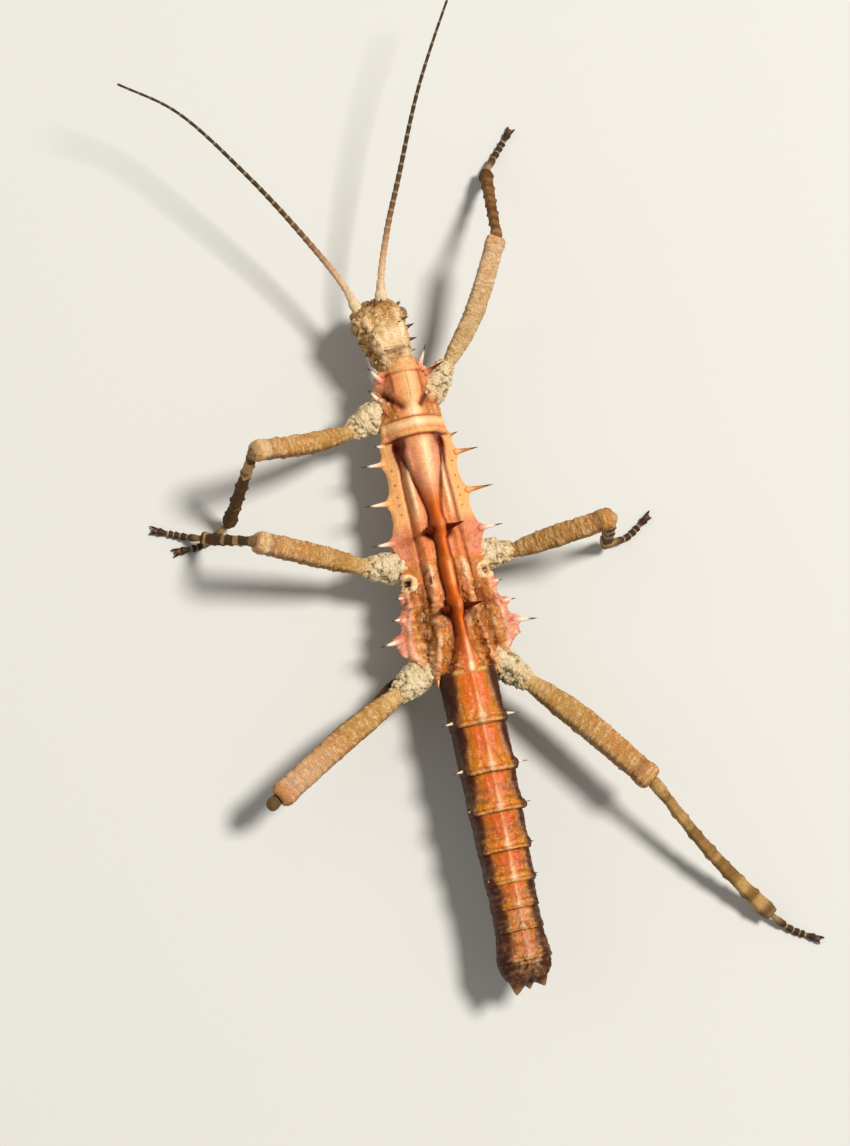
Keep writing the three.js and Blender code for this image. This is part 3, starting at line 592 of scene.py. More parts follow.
class Recipe:
    """A material with one node-making method."""

    def __init__(self, name):
        self.material = bpy.data.materials.new(name)
        self.material.use_nodes = True
        self.tree = self.material.node_tree
        self.shader = self.tree.nodes["Principled BSDF"]

    def node(self, kind, settings=None, values=None, out=0):
        """Makes any node: its settings first, then its sockets' values or links."""
        made = self.tree.nodes.new(kind)
        for key, value in (settings or {}).items():
            setattr(made, key, value)
        for key, value in (values or {}).items():
            self.put(made.inputs[key], value)
        return Term(self, made.outputs[out])

    def put(self, socket, value):
        """Links a term to a socket, or sets the socket to a plain value."""
        if isinstance(value, Term):
            self.tree.links.new(value.socket, socket)
        else:
            socket.default_value = value

    def dress(self, values):
        """Sets or links the shader's sockets by their names."""
        for key, value in values.items():
            self.put(self.shader.inputs[key], value)

    def maths(self, operation, a, b):
        """One Math node on two numbers or terms."""
        return self.node("ShaderNodeMath", {"operation": operation}, {0: a, 1: b})

    def spread(self, value, low, high, to_low, to_high):
        """Maps low to high softly onto another range."""
        return self.node("ShaderNodeMapRange", {"interpolation_type": "SMOOTHSTEP"},
                         {0: value, 1: low, 2: high, 3: to_low, 4: to_high})

    def mix(self, a, b, factor, kind="MIX"):
        """Lays colour b over colour a."""
        return self.node("ShaderNodeMix", {"data_type": "RGBA", "blend_type": kind},
                         {0: factor, 6: a, 7: b}, out=2)

    def noise(self, size, detail=3.0):
        """Noise with lumps of a size in metres."""
        where = self.node("ShaderNodeTexCoord", out="Object")
        return self.node("ShaderNodeTexNoise", None, {
            "Vector": where, "Scale": 1 / size, "Detail": detail, "Roughness": 0.55})

    def cells(self, size):
        """Distance to the middle of the nearest cell, for cells of a size in metres."""
        where = self.node("ShaderNodeTexCoord", out="Object")
        return self.node("ShaderNodeTexVoronoi", {"feature": "F1"}, {"Vector": where, "Scale": 1 / size})

    def bump(self, height, depth, under=None):
        """A surface raised by a height, up to a depth in metres, over a bump already made."""
        values = {"Height": height, "Distance": depth, "Strength": 1.0}
        if under is not None:
            values["Normal"] = under
        return self.node("ShaderNodeBump", None, values)


WARM_STAIN = (0.75, 0.5, 0.36, 1)
EYE_BANDS = (0.2, 0.11, 0.06, 1)
EYE_SEAMS = (0.06, 0.035, 0.02, 1)
CUTICLES = {  # size and depth of the pits in mm, roughness where it shines and where not, coat, mottling
    "thorax": (0.09, 0.012, 0.3, 0.75, 0.06, 0.2),
    "abdomen": (0.08, 0.012, 0.28, 0.7, 0.06, 0.24),
    "head": (0.06, 0.02, 0.55, 0.9, 0.0, 0.35),
    "feeler": (0.05, 0.008, 0.4, 0.75, 0.0, 0.25),
    "hip": (0.07, 0.02, 0.6, 0.92, 0.0, 0.35),
    "thigh": (0.07, 0.014, 0.45, 0.85, 0.0, 0.32),
    "shank": (0.06, 0.012, 0.45, 0.8, 0.0, 0.35),
    "foot": (0.05, 0.008, 0.35, 0.7, 0.0, 0.3),
}


def cuticle(part):
    """A material whose pigment comes from the mesh, and noise mottles it, breaks its shine and pits it."""
    grain, depth, rough_low, rough_high, coat, mottle = CUTICLES[part]
    r = Recipe(f"{part} cuticle")
    pigment = r.node("ShaderNodeAttribute", {"attribute_name": "pigment"}, out="Color")
    gloss = r.node("ShaderNodeAttribute", {"attribute_name": "gloss"}, out="Fac")
    fine = r.noise(grain * MM)
    broad = r.noise(grain * 7 * MM, 2.0)
    tone = r.spread(fine, 0.3, 0.7, 1 - mottle, 1 + mottle * 0.6)
    tinted = r.mix(pigment, r.node("ShaderNodeCombineColor", None, {0: tone, 1: tone, 2: tone}), 1.0,
                   "MULTIPLY")
    shifted = r.mix(tinted, WARM_STAIN, r.spread(broad, 0.52, 0.78, 0, 0.35), "MULTIPLY")
    pits = r.bump(r.cells(grain * 1.6 * MM), depth * MM)
    r.dress({
        "Base Color": shifted,
        "Roughness": rough_high - gloss * (rough_high - rough_low) + (fine - 0.5) * 0.25,
        "Normal": r.bump(fine, depth * 1.2 * MM, pits),
        "Coat Weight": coat,
        "Coat Roughness": 0.3,
        "Specular IOR Level": 0.16,
    })
    return r.material


def eye_material():
    """A rounded eye of many small lenses under a clear coat, with brown bands."""
    r = Recipe("eye lenses")
    base = tuple(shade("eye")) + (1,)
    broad = r.noise(0.35 * MM, 2.0)
    tone = r.mix(base, EYE_BANDS, r.spread(broad, 0.45, 0.68, 0, 0.8))
    lens = r.cells(0.045 * MM)
    r.dress({
        "Base Color": r.mix(tone, EYE_SEAMS, r.spread(lens, 0.3, 0.7, 0, 0.35)),
        "Normal": r.bump(1 - lens, 0.012 * MM),
        "Roughness": 0.42,
        "Specular IOR Level": 0.25,
        "Coat Weight": 0.25,
        "Coat Roughness": 0.12,
    })
    return r.material


# ---- Thorax ------------------------------------------------------------------------------------------

def thorax_row(y):
    """Half breadth, crest, shoulder, flange edge and belly of the thorax at y."""
    at = [row[0] for row in THORAX]
    return [through(list(zip(at, [row[i] for row in THORAX])), y) for i in range(1, 6)]


def flange_reach(y):
    """How far the flange runs out into the root of each spine."""
    return sum(0.36 * (tip - 2.25) * np.exp(-np.sqrt((y - at) ** 2 + 0.01) / (0.16 + 0.75 * radius))
               for at, tip, _, _, radius in FLANGE_SPINES)


def furrow(x, y, a, b, width):
    """Nearness to a straight furrow from a to b, on both sides of the middle line."""
    p = np.stack([np.abs(x), y], axis=1) - np.array(a)
    d = np.array(b, float) - np.array(a, float)
    t = np.clip(p @ d / (d @ d), 0, 1)
    return bell(np.linalg.norm(p - t[:, None] * d, axis=1), width)


def ridge_sway(x, y):
    """How far the ridges and furrows of the back wander sideways."""
    return 0.07 * cloud(flat(x, y), 1.1, 77)


def hole_distance(side, y):
    """Distance from the middle of the breathing hole."""
    return np.hypot(side - BREATHING_HOLE[0], y - BREATHING_HOLE[1])


def back_height(x, y):
    """Height of the thorax's back at x across and y along."""
    wide, crest, shoulder, edge, _ = thorax_row(y)
    side, a = np.abs(x), np.abs(x) / (wide + 0.01)
    here = flat(x, y)
    sway = ridge_sway(x, y)
    middle = through(MIDDLE_WIDTH, y) + 0.03 * cloud(here, 0.6, 78)
    slope = edge + (shoulder + 0.1 - edge) * (1 - np.clip(a, 0, 1)) ** 0.92
    q = np.clip(side / (middle + 0.1), 0, 1)
    dome = (1 - q ** 2.6) ** 0.9
    z = slope + dome * (crest - shoulder - 0.1 + 0.25 * q * smooth(0.5, 0.75, middle))
    z += through(SIDE_RIDGE, y) * bell(side - RIDGE_OUT - sway, 0.25) * (0.85 + 0.3 * cloud(here, 0.9, 79))
    z -= 0.15 * span(y, -1.6, -0.4, 10.3, 10.75) * bell(side - OUTER_FURROW - sway, 0.13)
    z -= 0.15 * span(y, -3.2, -2.6, 10.2, 10.75) * bell(side - middle - 0.13, 0.1)
    for at, depth in JOINT_DEPTHS:
        z -= depth * bell(y - at - 0.05 * cloud(here, 0.8, 80), 0.09) * smooth(1.05, 0.9, a)
    z += 0.07 * bell(y - 2.4, 0.1) * smooth(1.4, 0.4, side)
    z += 0.07 * bell(y - 11.55, 0.22) + 0.05 * bell(y - 11.0, 0.14)
    z += 0.16 * bell(y - 15.38, 0.22)
    z -= 0.3 * furrow(x, y, *NECK_FURROW, 0.22)
    z += 0.14 * bell(side - 1.6, 0.3) * bell(y - 12.7, 0.5)
    z -= 0.12 * furrow(x, y, (1.2, 12.6), (1.9, 12.3), 0.14) + 0.07 * bell(x, 0.06) * smooth(12.9, 13.3, y)
    z += 0.18 * spot(side, y, 1.75, 13.4, 0.3)
    z += 0.12 * spot(side, y, 1.2, 12.55, 0.35)
    z += 0.12 * bell(side - 0.95, 0.2) * span(y, 13.2, 13.8, 14.8, 15.2)
    for kx, ky, height in KNOBS:
        z += height * bell(np.hypot(x - kx, y - ky) ** 1.5, 0.4)
    for px, py, radius, depth in PITS:
        z -= depth * spot(side, y, px, py, radius)
    for dot in FLANGE_DOTS:
        z -= 0.06 * spot(side, y, *dot, 0.06)
    hole = hole_distance(side, y) + 0.06 * cloud(here, 0.5, 81)
    z += 0.24 * bell(hole - 0.4, 0.16) - 0.34 * bell(hole, 0.2)
    # A swollen margin with a hollow inside it along the hind thorax, and the folds that run to the lobes.
    margin = span(y, -4.3, -3.4, -0.2, 1.0)
    fold = through(SIDE_FOLD, y)
    z += margin * (0.2 * bell(side - wide * 0.93, 0.2) - 0.3 * bell(side - (fold + wide * 0.86) / 2, 0.26))
    z += bell(side - fold - sway, 0.25) * (0.2 + 0.24 * smooth(0.2, -2.4, y)) * smooth(2.3, 1.6, y)
    z -= 0.24 * smooth(0.9, -0.6, y) * bell(side - (fold + middle) / 2, 0.24)
    z += smooth(1.4, 0.4, y) * smooth(0.4, 0.8, side) * 0.12 * cloud(here, 0.95, 82)
    z -= 0.16 * smooth(-3.0, -3.8, y) * bell(side - middle - 0.2, 0.16)
    return z


# Round the underside from the flange to the middle: how far out and how far down the skin lies.
BELLY_OUT = [(0, 1), (0.12, 0.965), (0.4, 0.84), (0.7, 0.52), (1, 0)]
BELLY_DOWN = [(0, 0), (0.12, 0.2), (0.4, 0.62), (0.7, 0.93), (1, 1)]


def thorax_place(share, turn, rim):
    """Where the drum's corners go: the sculpted back above and a smooth belly below."""
    y = THORAX[0][0] + (THORAX[-1][0] - THORAX[0][0]) * share
    wide, _, _, edge, belly = thorax_row(y)
    half = np.abs(turn) / math.pi
    side = np.sign(turn)
    reach = wide + flange_reach(y)
    on_back = half <= 0.5
    a = np.where(on_back, half / 0.5, through(BELLY_OUT, (half - 0.5) / 0.5))
    x = side * a * np.where(on_back, wide + (reach - wide) * smooth(0.6, 1, a),
                            reach - (reach - wide) * smooth(0, 0.3, (half - 0.5) / 0.5))
    top = back_height(x, y)
    brink = back_height(side * reach, y)
    z = np.where(on_back, top - 0.1 * smooth(0.93, 1.0, a),
                 brink - 0.1 - (brink - 0.1 - belly) * through(BELLY_DOWN, (half - 0.5) / 0.5))
    middle = (edge + belly) / 2
    return np.stack([x * rim, y, middle + (z - middle) * rim], axis=1)


def thorax_grain(p):
    """How rough the thorax is at each corner: smooth on the front plates, crumpled behind and below."""
    x, y, z = p.T
    side = np.abs(x)
    grainy = smooth(2.6, 0.6, y) * smooth(0.3, 0.8, side) + smooth(4.5, 4.1, z) * 0.9
    grainy = grainy + (0.35 + 0.45 * smooth(14.3, 13.8, y)) * smooth(12.0, 12.4, y) * smooth(0.7, 1.2, side)
    grainy = grainy + 0.3 * smooth(5.8, 4.4, y) * smooth(0.5, 1.0, side)
    return np.clip(0.1 + grainy + smooth(-3.2, -4.2, y) * 0.4 * smooth(0.1, 0.5, side), 0, 1.1)


def thorax_pigment(p, n, grainy, relief):
    """Thorax colours at corners p with normals n: orange back, pale ridges, rough tan rear, painted light
    and shade.
    """
    x, y, z = p.T
    side = np.abs(x)
    wide = thorax_row(y)[0]
    middle = through(MIDDLE_WIDTH, y)
    mottle, fine = clouds(p, 0.9, 5), clouds(p, 0.33, 6)
    paint = Pigment("salmon", len(p))
    paint.lay("keel", (0.12 + 0.3 * smooth(-0.1, 0.7, mottle)) * smooth(11, 10, y))
    paint.lay("peach", smooth(1.45, 1.62, side) * smooth(4.6, 5.4, y) * 0.95)
    patch = smooth(5.7, 4.6, y + 0.6 * mottle) * smooth(1.5, 2.1, side + 0.3 * fine) * smooth(2.2, 3.0, y)
    paint.lay("pink", patch * (0.6 + 0.4 * fine))
    paint.lay("tan", smooth(5.4, 4.2, y) * smooth(1.5, 1.9, side) * smooth(-0.1, 0.5, -fine) * 0.6)
    ridge = span(y, 4.8, 6.2, 9.3, 10.1)
    # Peach and cream along the crest of each side ridge: pale colour with painted highlight.
    paint.lay("peach", bell(side - 1.12, 0.34) * ridge * 0.5)
    paint.lay("cream", bell(side - 1.12, 0.2) * ridge * (0.7 + 0.35 * fine))
    wedge = smooth(middle + 0.05, middle - 0.12, side) * span(y, 6.4, 7.9, 10.4, 10.8)
    paint.lay("peach", wedge * 0.5)
    flecks = smooth(-0.1, 0.6, fine + 0.7 * bell(side - middle + 0.3, 0.3))
    paint.lay("pink", wedge * flecks * 0.65)
    # Cream down the middle of the wedge: pale colour with painted highlight.
    paint.lay("cream", bell(x - 0.15, 0.38) * span(y, 6.4, 9.0, 10.1, 10.7) * (0.75 + 0.35 * fine))
    paint.lay("salmon", wedge * smooth(middle - 0.35, middle - 0.02, side) * (0.5 + 0.4 * mottle))
    # Collar behind the neck plate.
    collar = span(y, 10.75, 10.85, 11.88, 11.98)
    paint.lay("peach", collar)
    paint.lay("salmon", collar * (bell(y - 11.2, 0.1) * 0.6 + smooth(1.2, 1.9, side) * 0.35))
    # Cream across the collar's front is pale colour; the cream spot at its middle is painted highlight.
    paint.lay("cream", collar * (bell(y - 11.6, 0.2) * 0.5 + spot(x, y, 0.1, 11.6, 0.4) * 0.7))
    # Neck plate.
    front = smooth(11.98, 12.1, y)
    rough = front * smooth(0.75, 1.1, side) * smooth(14.4, 13.6, y)
    paint.lay("tan", rough * (0.8 + 0.4 * fine))
    paint.lay("pink", front * smooth(1.1, 1.6, side) * (0.45 + 0.4 * mottle) * (1 - 0.7 * rough))
    paint.lay("bark", rough * smooth(-0.1, 0.5, -mottle) * 0.45)
    paint.lay("peach", front * smooth(1.0, 0.3, side) * 0.75)
    paint.lay("cream", front * (bell(x - 0.25, 0.45) * 0.35 + bell(x, 0.35) * smooth(13, 12.2, y) * 0.5))
    paint.lay("furrow", front * bell(side - 0.95 - 0.1 * mottle, 0.1) * smooth(13.4, 13.9, y) * 0.55)
    paint.lay("straw_dark", rough * smooth(0.1, 0.6, -fine) * 0.5)
    paint.lay("cream", spot(side, y, 1.78, 13.55, 0.26) * 0.8 + rough * smooth(0.3, 0.7, fine) * 0.5)
    paint.lay("furrow", front * smooth(1.2, 1.7, side) * smooth(-0.1, 0.5, -mottle) * 0.45)
    paint.lay("peach", smooth(15.1, 15.2, y) * 0.65)
    paint.lay("straw", smooth(15.1, 15.3, y) * smooth(-0.2, 0.5, fine) * 0.6)
    # Hind thorax.
    rear = smooth(2.6, 2.35, y)
    paint.lay("tan", rear * smooth(0.45, 0.75, side) * (0.75 + 0.25 * smooth(0.6, -1.0, y)))
    paint.lay("gold", rear * smooth(0.35, 0.8, fine) * smooth(0.4, 0.8, side) * 0.35)
    patches = clouds(p, 0.55, 45)
    paint.lay("peach", rear * smooth(0.0, 0.5, patches) * smooth(0.4, 0.8, side) * 0.7)
    paint.lay("furrow", rear * smooth(0.15, 0.6, -patches) * smooth(0.4, 0.8, side) * 0.5)
    paint.lay("salmon", rear * bell(side - 1.12, 0.26) * smooth(-1.4, 0.4, y) * 0.85)
    # Cream along the crest of the side ridge is painted highlight.
    paint.lay("cream", rear * bell(side - 1.1, 0.17) * smooth(0.3, 1.3, y) * 0.7)
    margin = span(y, -4.2, -3.4, 0.2, 1.6)
    fold = through(SIDE_FOLD, y)
    paint.lay("hip", rear * smooth(-0.4, -2.0, y) * smooth(0.45, 0.8, side) * smooth(0.0, 0.6, mottle) * 0.6)
    # Furrow in the hollow inside the swollen margin is painted shade.
    paint.lay("furrow", margin * bell(side - (fold + wide * 0.86) / 2, 0.27) * (0.65 + 0.4 * fine))
    paint.lay("straw_dark", rear * smooth(0.5, 0.9, side) * smooth(0.15, 0.6, -fine) * 0.45)
    paint.lay("salmon", bell(side - fold, 0.2) * smooth(0.4, -0.8, y) * (0.45 + 0.4 * mottle))
    # Cream along the fold's crest is painted highlight.
    paint.lay("cream", bell(side - fold, 0.1) * smooth(0.4, -0.8, y) * (0.25 + 0.5 * fine))
    paint.lay("pink", margin * smooth(0.84, 0.93, side / wide) * (0.75 + 0.25 * mottle))
    # Cream along the margin's crest is painted highlight.
    paint.lay("cream", margin * bell(side - wide * 0.93, 0.08) * (0.3 + 0.3 * fine))
    # Furrow in the groove beside the keel is painted shade.
    paint.lay("furrow", smooth(0.9, -0.6, y) * bell(side - middle - 0.16, 0.12) * 0.6)
    # Keel, knobs and the wedge in front of the abdomen.
    keel = smooth(middle + 0.1, middle - 0.02, side)
    paint.lay("keel", keel * span(y, -3.4, -2.6, 5.8, 7.0))
    # Furrow along the keel's edges is painted shade.
    paint.lay("furrow", keel * smooth(middle - 0.15, middle + 0.08, side) * smooth(6.6, 5.8, y) * 0.25)
    # Peach down the keel's middle between the knobs is painted highlight.
    paint.lay("peach", keel * bell(x - 0.08, 0.16) * span(y, 0.2, 1.1, 1.9, 2.5) * 0.8)
    paint.lay("gold", bell(y - 2.42, 0.13) * smooth(1.5, 0.6, side) * 0.8)
    paint.lay("ember", keel * smooth(-2.6, -3.2, y))
    paint.lay("gold", keel * smooth(-3.4, -4.2, y) * smooth(0.15, 0.5, side) * (0.6 + 0.6 * mottle))
    # Cream along the middle of the wedge's tip and the spot at its rear margin are painted highlight.
    paint.lay("cream", keel * (bell(x - 0.1, 0.14) * smooth(-2.6, -3.2, y) * 0.5
                               + spot(x, y, 0.1, -4.65, 0.24) * 0.8))
    for kx, ky, _ in KNOBS:
        paint.lay("salmon", spot(x, y, kx, ky, 0.28) * 0.8)
    # Furrows and pits: painted shade in the furrows, the pits and round the front corners, with the real
    # dark dots of the flange and the dark seams between the rings.
    sway = ridge_sway(x, y)
    dark = span(y, -1.6, -0.4, 10.3, 10.75) * bell(side - OUTER_FURROW - sway, 0.11) * (0.8 + 0.3 * fine)
    dark += span(y, -3.0, -2.4, 10.2, 10.75) * bell(side - middle - 0.14, 0.12) * (0.9 + 0.3 * mottle)
    dark += bell(side - 1.3 - sway, 0.07) * span(y, 5.4, 6.5, 8.5, 9.5) * 0.35
    dark += bell(np.hypot((side - 1.32) / 1.1, (y - 10.0) / 2.0), 0.42) * (0.85 + 0.3 * fine)
    dark += bell(side - 1.1, 0.35) * bell(y - 10.55, 0.2) * 0.5
    dark += furrow(x, y, *NECK_FURROW, 0.2) * 0.95 + bell(y - COLLAR_JOINT, 0.09) * 0.9
    dark += bell(y - NECK_JOINT, 0.05) * 0.7 + bell(y - HEAD_JOINT, 0.06) * 0.6 * front
    dark += bell(x, 0.04) * span(y, 12.9, 13.3, 14.8, 15.0) * 0.5
    for px, py, radius, _ in PITS:
        dark += spot(side, y, px, py, radius * 1.05) * 1.2
    for dot in FLANGE_DOTS:
        dark += spot(side, y, *dot, 0.065)
    on_top = smooth(4.2, 4.7, z)
    paint.lay("furrow", dark * on_top)
    hole = hole_distance(side, y) + 0.06 * fine
    paint.lay("cream", smooth(0.64, 0.54, hole) * on_top * 0.75)
    paint.lay("gold", bell(hole - 0.3, 0.06) * on_top * 0.5)
    paint.lay("horn", smooth(0.27, 0.2, hole) * on_top)
    # Sides and belly: straw low on the sides and darker towards the bottom, with painted shade on faces
    # turned down, painted highlight on the tops of the grains and painted shade in the creases.
    paint.lay("straw", smooth(4.5, 4.1, z) * 0.85)
    paint.lay("bark", smooth(4.0, 3.2, z) * 0.55 + smooth(-0.2, -0.9, n[:, 2]) * 0.25)
    paint.lay("cream", grainy * smooth(0.8, 0.93, relief) * smooth(3.2, 4.4, z) * 0.4)
    paint.lay("furrow", grainy * smooth(0.64, 0.4, relief) * 0.45)
    paint.lay("straw_dark", grainy * smooth(0.5, 0.26, relief) * 0.85)
    joints = bell(y - 10.8, 0.07) + bell(y - 2.4, 0.07) + bell(side, 0.05) * 0.5
    paint.lay("straw_dark", joints * smooth(3.6, 3.2, z) * 0.8)
    return paint.rgb


# ---- Abdomen ------------------------------------------------------------------------------------------

def abdomen_row(y):
    """Plate number, share along the plate from front to rear, and the smooth sizes there."""
    joints = np.array(ABDOMEN_JOINTS)
    plate = np.clip(np.searchsorted(-joints, -y) - 1, 0, len(joints) - 2)
    share = np.clip((joints[plate] - y) / (joints[plate] - joints[plate + 1]), 0, 1)
    rising = joints[::-1]
    read = [through(list(zip(rising, table[::-1])), y)
            for table in (ABDOMEN_WIDE, ABDOMEN_CREST, ABDOMEN_BELLY)]
    return plate, share, *read


def abdomen_middle(y):
    """How far the abdomen's middle line bends aside towards its tip."""
    reach = (ABDOMEN_JOINTS[0] - y) / (ABDOMEN_JOINTS[0] - ABDOMEN_JOINTS[-1])
    return -TAIL_DRIFT * np.clip(reach, 0, 2) ** 2


def plate_edge(y, t, side):
    """Half breadth of the bright plate: pinched in front, flared and a little ragged at its rear."""
    here = flat(side * 3 + y * 0, y)
    broad = np.interp(-y, -np.array(ABDOMEN_JOINTS), PLATE_WIDE)
    return broad * (0.95 + 0.14 * smooth(0.3, 0.95, t) + 0.06 * cloud(here, 0.6, 90))


def abdomen_place(share, turn, rim):
    """Where the drum's corners go: arched plates that lap over each other, steep sides, notched tail."""
    y = ABDOMEN_REAR + (ABDOMEN_FRONT - ABDOMEN_REAR) * share
    plate, t, wide, crest, belly = abdomen_row(y)
    half, side = np.abs(turn) / math.pi, np.sign(turn)
    tail = plate == len(ABDOMEN_JOINTS) - 2
    lap = np.where(tail, 0.0, smooth(0.6, 0.97, t) * 0.08) - 0.07 * bell(t, 0.07)
    on_back = half <= 0.5
    a = np.where(on_back, half / 0.5, through(BELLY_OUT, (half - 0.5) / 0.5))
    corner = 0.62  # share of the half turn that the bright plate takes up
    edge = 0.45 * crest + 0.55 * belly
    plate_half = plate_edge(y, t, side)
    down = np.clip((a - corner) / (1 - corner), 0, 1)
    x_plate = a / corner * plate_half
    x_steep = plate_half + (wide - plate_half) * np.sin(down * math.pi / 2) ** 0.8
    lap = lap * (1 - 0.6 * smooth(0.1, 0.6, down))
    across = np.where(on_back, np.where(a < corner, x_plate, x_steep), a * wide)
    arch = crest - 0.3 * (across / plate_half) ** 2
    fall = crest - 0.3 - (crest - 0.3 - edge) * (1 - np.cos(down * math.pi / 2))
    z_back = np.where(a < corner, arch, fall) + 0.09 * bell(across, 0.16)
    z_back += 0.07 * bell(across - plate_half, 0.16)
    z_back += 0.1 * bell(np.hypot(across / 1.2, (t - 0.9) * 2.2), 0.28) * (t > 0.5)
    z_back += 0.1 * bell(across - 0.7, 0.3) * bell(t - 0.8, 0.14)
    z_back += 0.05 * bell(across - 0.55, 0.2) * bell(t - 0.35, 0.2)
    z_back -= 0.06 * bell(t - 0.92, 0.03) * (across < plate_half)
    z = np.where(on_back, z_back, edge - (edge - belly) * through(BELLY_DOWN, (half - 0.5) / 0.5)) + lap
    pull = sum(0.22 * (n == plate) * bell((1 - t) * 3.0 - 0.35, 0.35) for n, _ in ABDOMEN_SPINES)
    across = across * (1 + lap / wide) + pull * bell(down - 0.1, 0.3) * on_back
    notch = smooth(-24.2, -24.8, y) * bell(across, 0.4)
    middle = (edge + belly) / 2
    cap = np.sqrt(1 - 0.96 * np.clip(1 - share / 0.03, 0, 1) ** 2)
    z = middle + (z - middle) * rim * cap - notch * 0.3 * (z > middle) * rim
    here = flat(across * side, y)
    y = y + notch * 0.35 + 0.09 * cloud(here, 0.5, 91) * smooth(0.6, 0.9, t) * (1 - tail)
    return np.stack([abdomen_middle(y) + side * across * rim * cap, y, z], axis=1)


def abdomen_pigment(p, relief):
    """The abdomen's colours: bright plates with gold rears between steep sides darkened with painted shade.
    """
    x, y, z = p.T
    plate, t, _, crest, belly = abdomen_row(y)
    x = x - abdomen_middle(y)
    side = np.abs(x)
    plate_half = plate_edge(y, t, np.sign(x))
    mottle, fine = clouds(p, 0.8, 9), clouds(p, 0.28, 19)
    out, late = side / plate_half, smooth(-17.5, -22.5, y)
    paint = Pigment("gold", len(p))
    paint.lay("bark", smooth(0.1, 0.7, -fine) * (0.35 + 0.3 * late))
    flank = smooth(0.55, 0.95, out + 0.25 * fine) * smooth(0.8, 0.5, t + 0.2 * mottle)
    paint.lay("furrow", flank * (0.6 - 0.2 * fine))
    core = smooth(0.85, 0.4, out + 0.25 * fine) * smooth(0.75, 0.45, t + 0.25 * mottle) * smooth(0.0, 0.1, t)
    paint.lay("ember", core * (1 - 0.4 * late))
    paint.lay("keel", core * smooth(-10, -7, y) * 0.4)
    paint.lay("keel", smooth(0.9, 0.5, out) * (0.4 + 0.3 * mottle) * (1 - core))
    paint.lay("salmon", bell(x - 0.05, 0.36) * smooth(0.1, 0.7, t + 0.4 * mottle) * 0.6)
    paint.lay("salmon", bell(x - 0.05, 0.17) * 0.6)
    # Cream along the median line is partly pale colour and partly painted highlight, stronger towards each
    # plate's rear.
    streak = bell(x - 0.07 + 0.06 * mottle, 0.11) * (0.1 + 0.4 * smooth(0.3, 0.8, t) + 0.3 * fine)
    paint.lay("cream", streak * (1 - 0.5 * late))
    paint.lay("pink", late * bell(x - 0.05, 0.2) * smooth(-23.5, -23.1, y) * 0.8)
    # Cream spot on the small tubercle at each plate's rear is painted highlight.
    paint.lay("cream", bell(np.hypot((x - 0.06) / 0.24, (t - 0.86) / 0.09), 1.0) * (0.6 + 0.5 * fine))
    paint.lay("bark", late * smooth(-0.1, 0.5, -fine) * 0.65)
    paint.lay("tan", late * (0.2 + 0.4 * smooth(-0.1, 0.5, fine)))
    paint.lay("hip", late * smooth(0.1, 0.6, mottle) * 0.4)
    paint.lay("pink", late * smooth(0.0, 0.6, -mottle) * 0.45)
    paint.lay("straw", bell(t - 0.965, 0.035) * (0.55 + 0.4 * fine))
    paint.lay("furrow", np.maximum(bell(t, 0.035) * (plate > 0), bell(t - 1, 0.015)) * 0.9
              + bell(t - 0.91 - 0.02 * fine, 0.022) * (0.4 + 0.5 * fine))
    paint.lay("straw", bell(t, 0.03) * (plate == 0) * 0.7)
    paint.lay("bark", late * smooth(0.5, 1.1, out) * 0.6 + smooth(-23.2, -23.7, y) * 0.85)
    paint.lay("maroon", smooth(-23.2, -23.8, y) * smooth(-0.35, 0.25, -fine) * 0.85)
    paint.lay("hip", smooth(-23.2, -23.6, y) * smooth(0.35, 0.7, fine) * 0.6)
    # Maroon on the steep sides and the lower half, then darker towards the bottom, is painted shade.
    steep = smooth(0.86, 1.12, out + 0.12 * fine) + (z < (crest + belly) / 2)
    paint.lay("maroon", steep * (0.97 - 0.25 * smooth(0.2, 0.8, fine)))
    paint.lay("shank", smooth(4.2, 3.3, z) * 0.55 + steep * late * 0.3)
    mid = smooth(-9, -12.5, y)
    fold = bell(t - 0.42 - 0.12 * fine, 0.06) + bell(t - 0.68 - 0.1 * fine, 0.05)
    paint.lay("bark", mid * fold * smooth(0.05, 0.5, out + 0.3 * fine) * 0.6)
    paint.lay("furrow", mid * smooth(0.05, 0.45, -fine) * smooth(0.3, 0.7, out) * 0.35)
    # Painted highlight on the tops of the grains and painted shade in the creases between them.
    grainy = 0.35 + 0.5 * smooth(0.45, 0.75, t) + 0.5 * late + 0.4 * mid
    paint.lay("straw", grainy * smooth(0.84, 0.98, relief) * (0.3 - 0.2 * np.clip(steep, 0, 1)))
    paint.lay("maroon", grainy * smooth(0.5, 0.15, relief) * 0.5)
    return paint.rgb


# ---- Head ---------------------------------------------------------------------------------------------

def head_to_animal(p):
    """Points given along the head's own middle line, laid where the head is turned to."""
    s, c = math.sin(HEAD_TURN), math.cos(HEAD_TURN)
    p = np.atleast_2d(np.array(p, float))
    return np.stack([HEAD_ROOT[0] + p[:, 0] * c - p[:, 1] * s, HEAD_ROOT[1] + p[:, 0] * s + p[:, 1] * c,
                     p[:, 2]], axis=1)


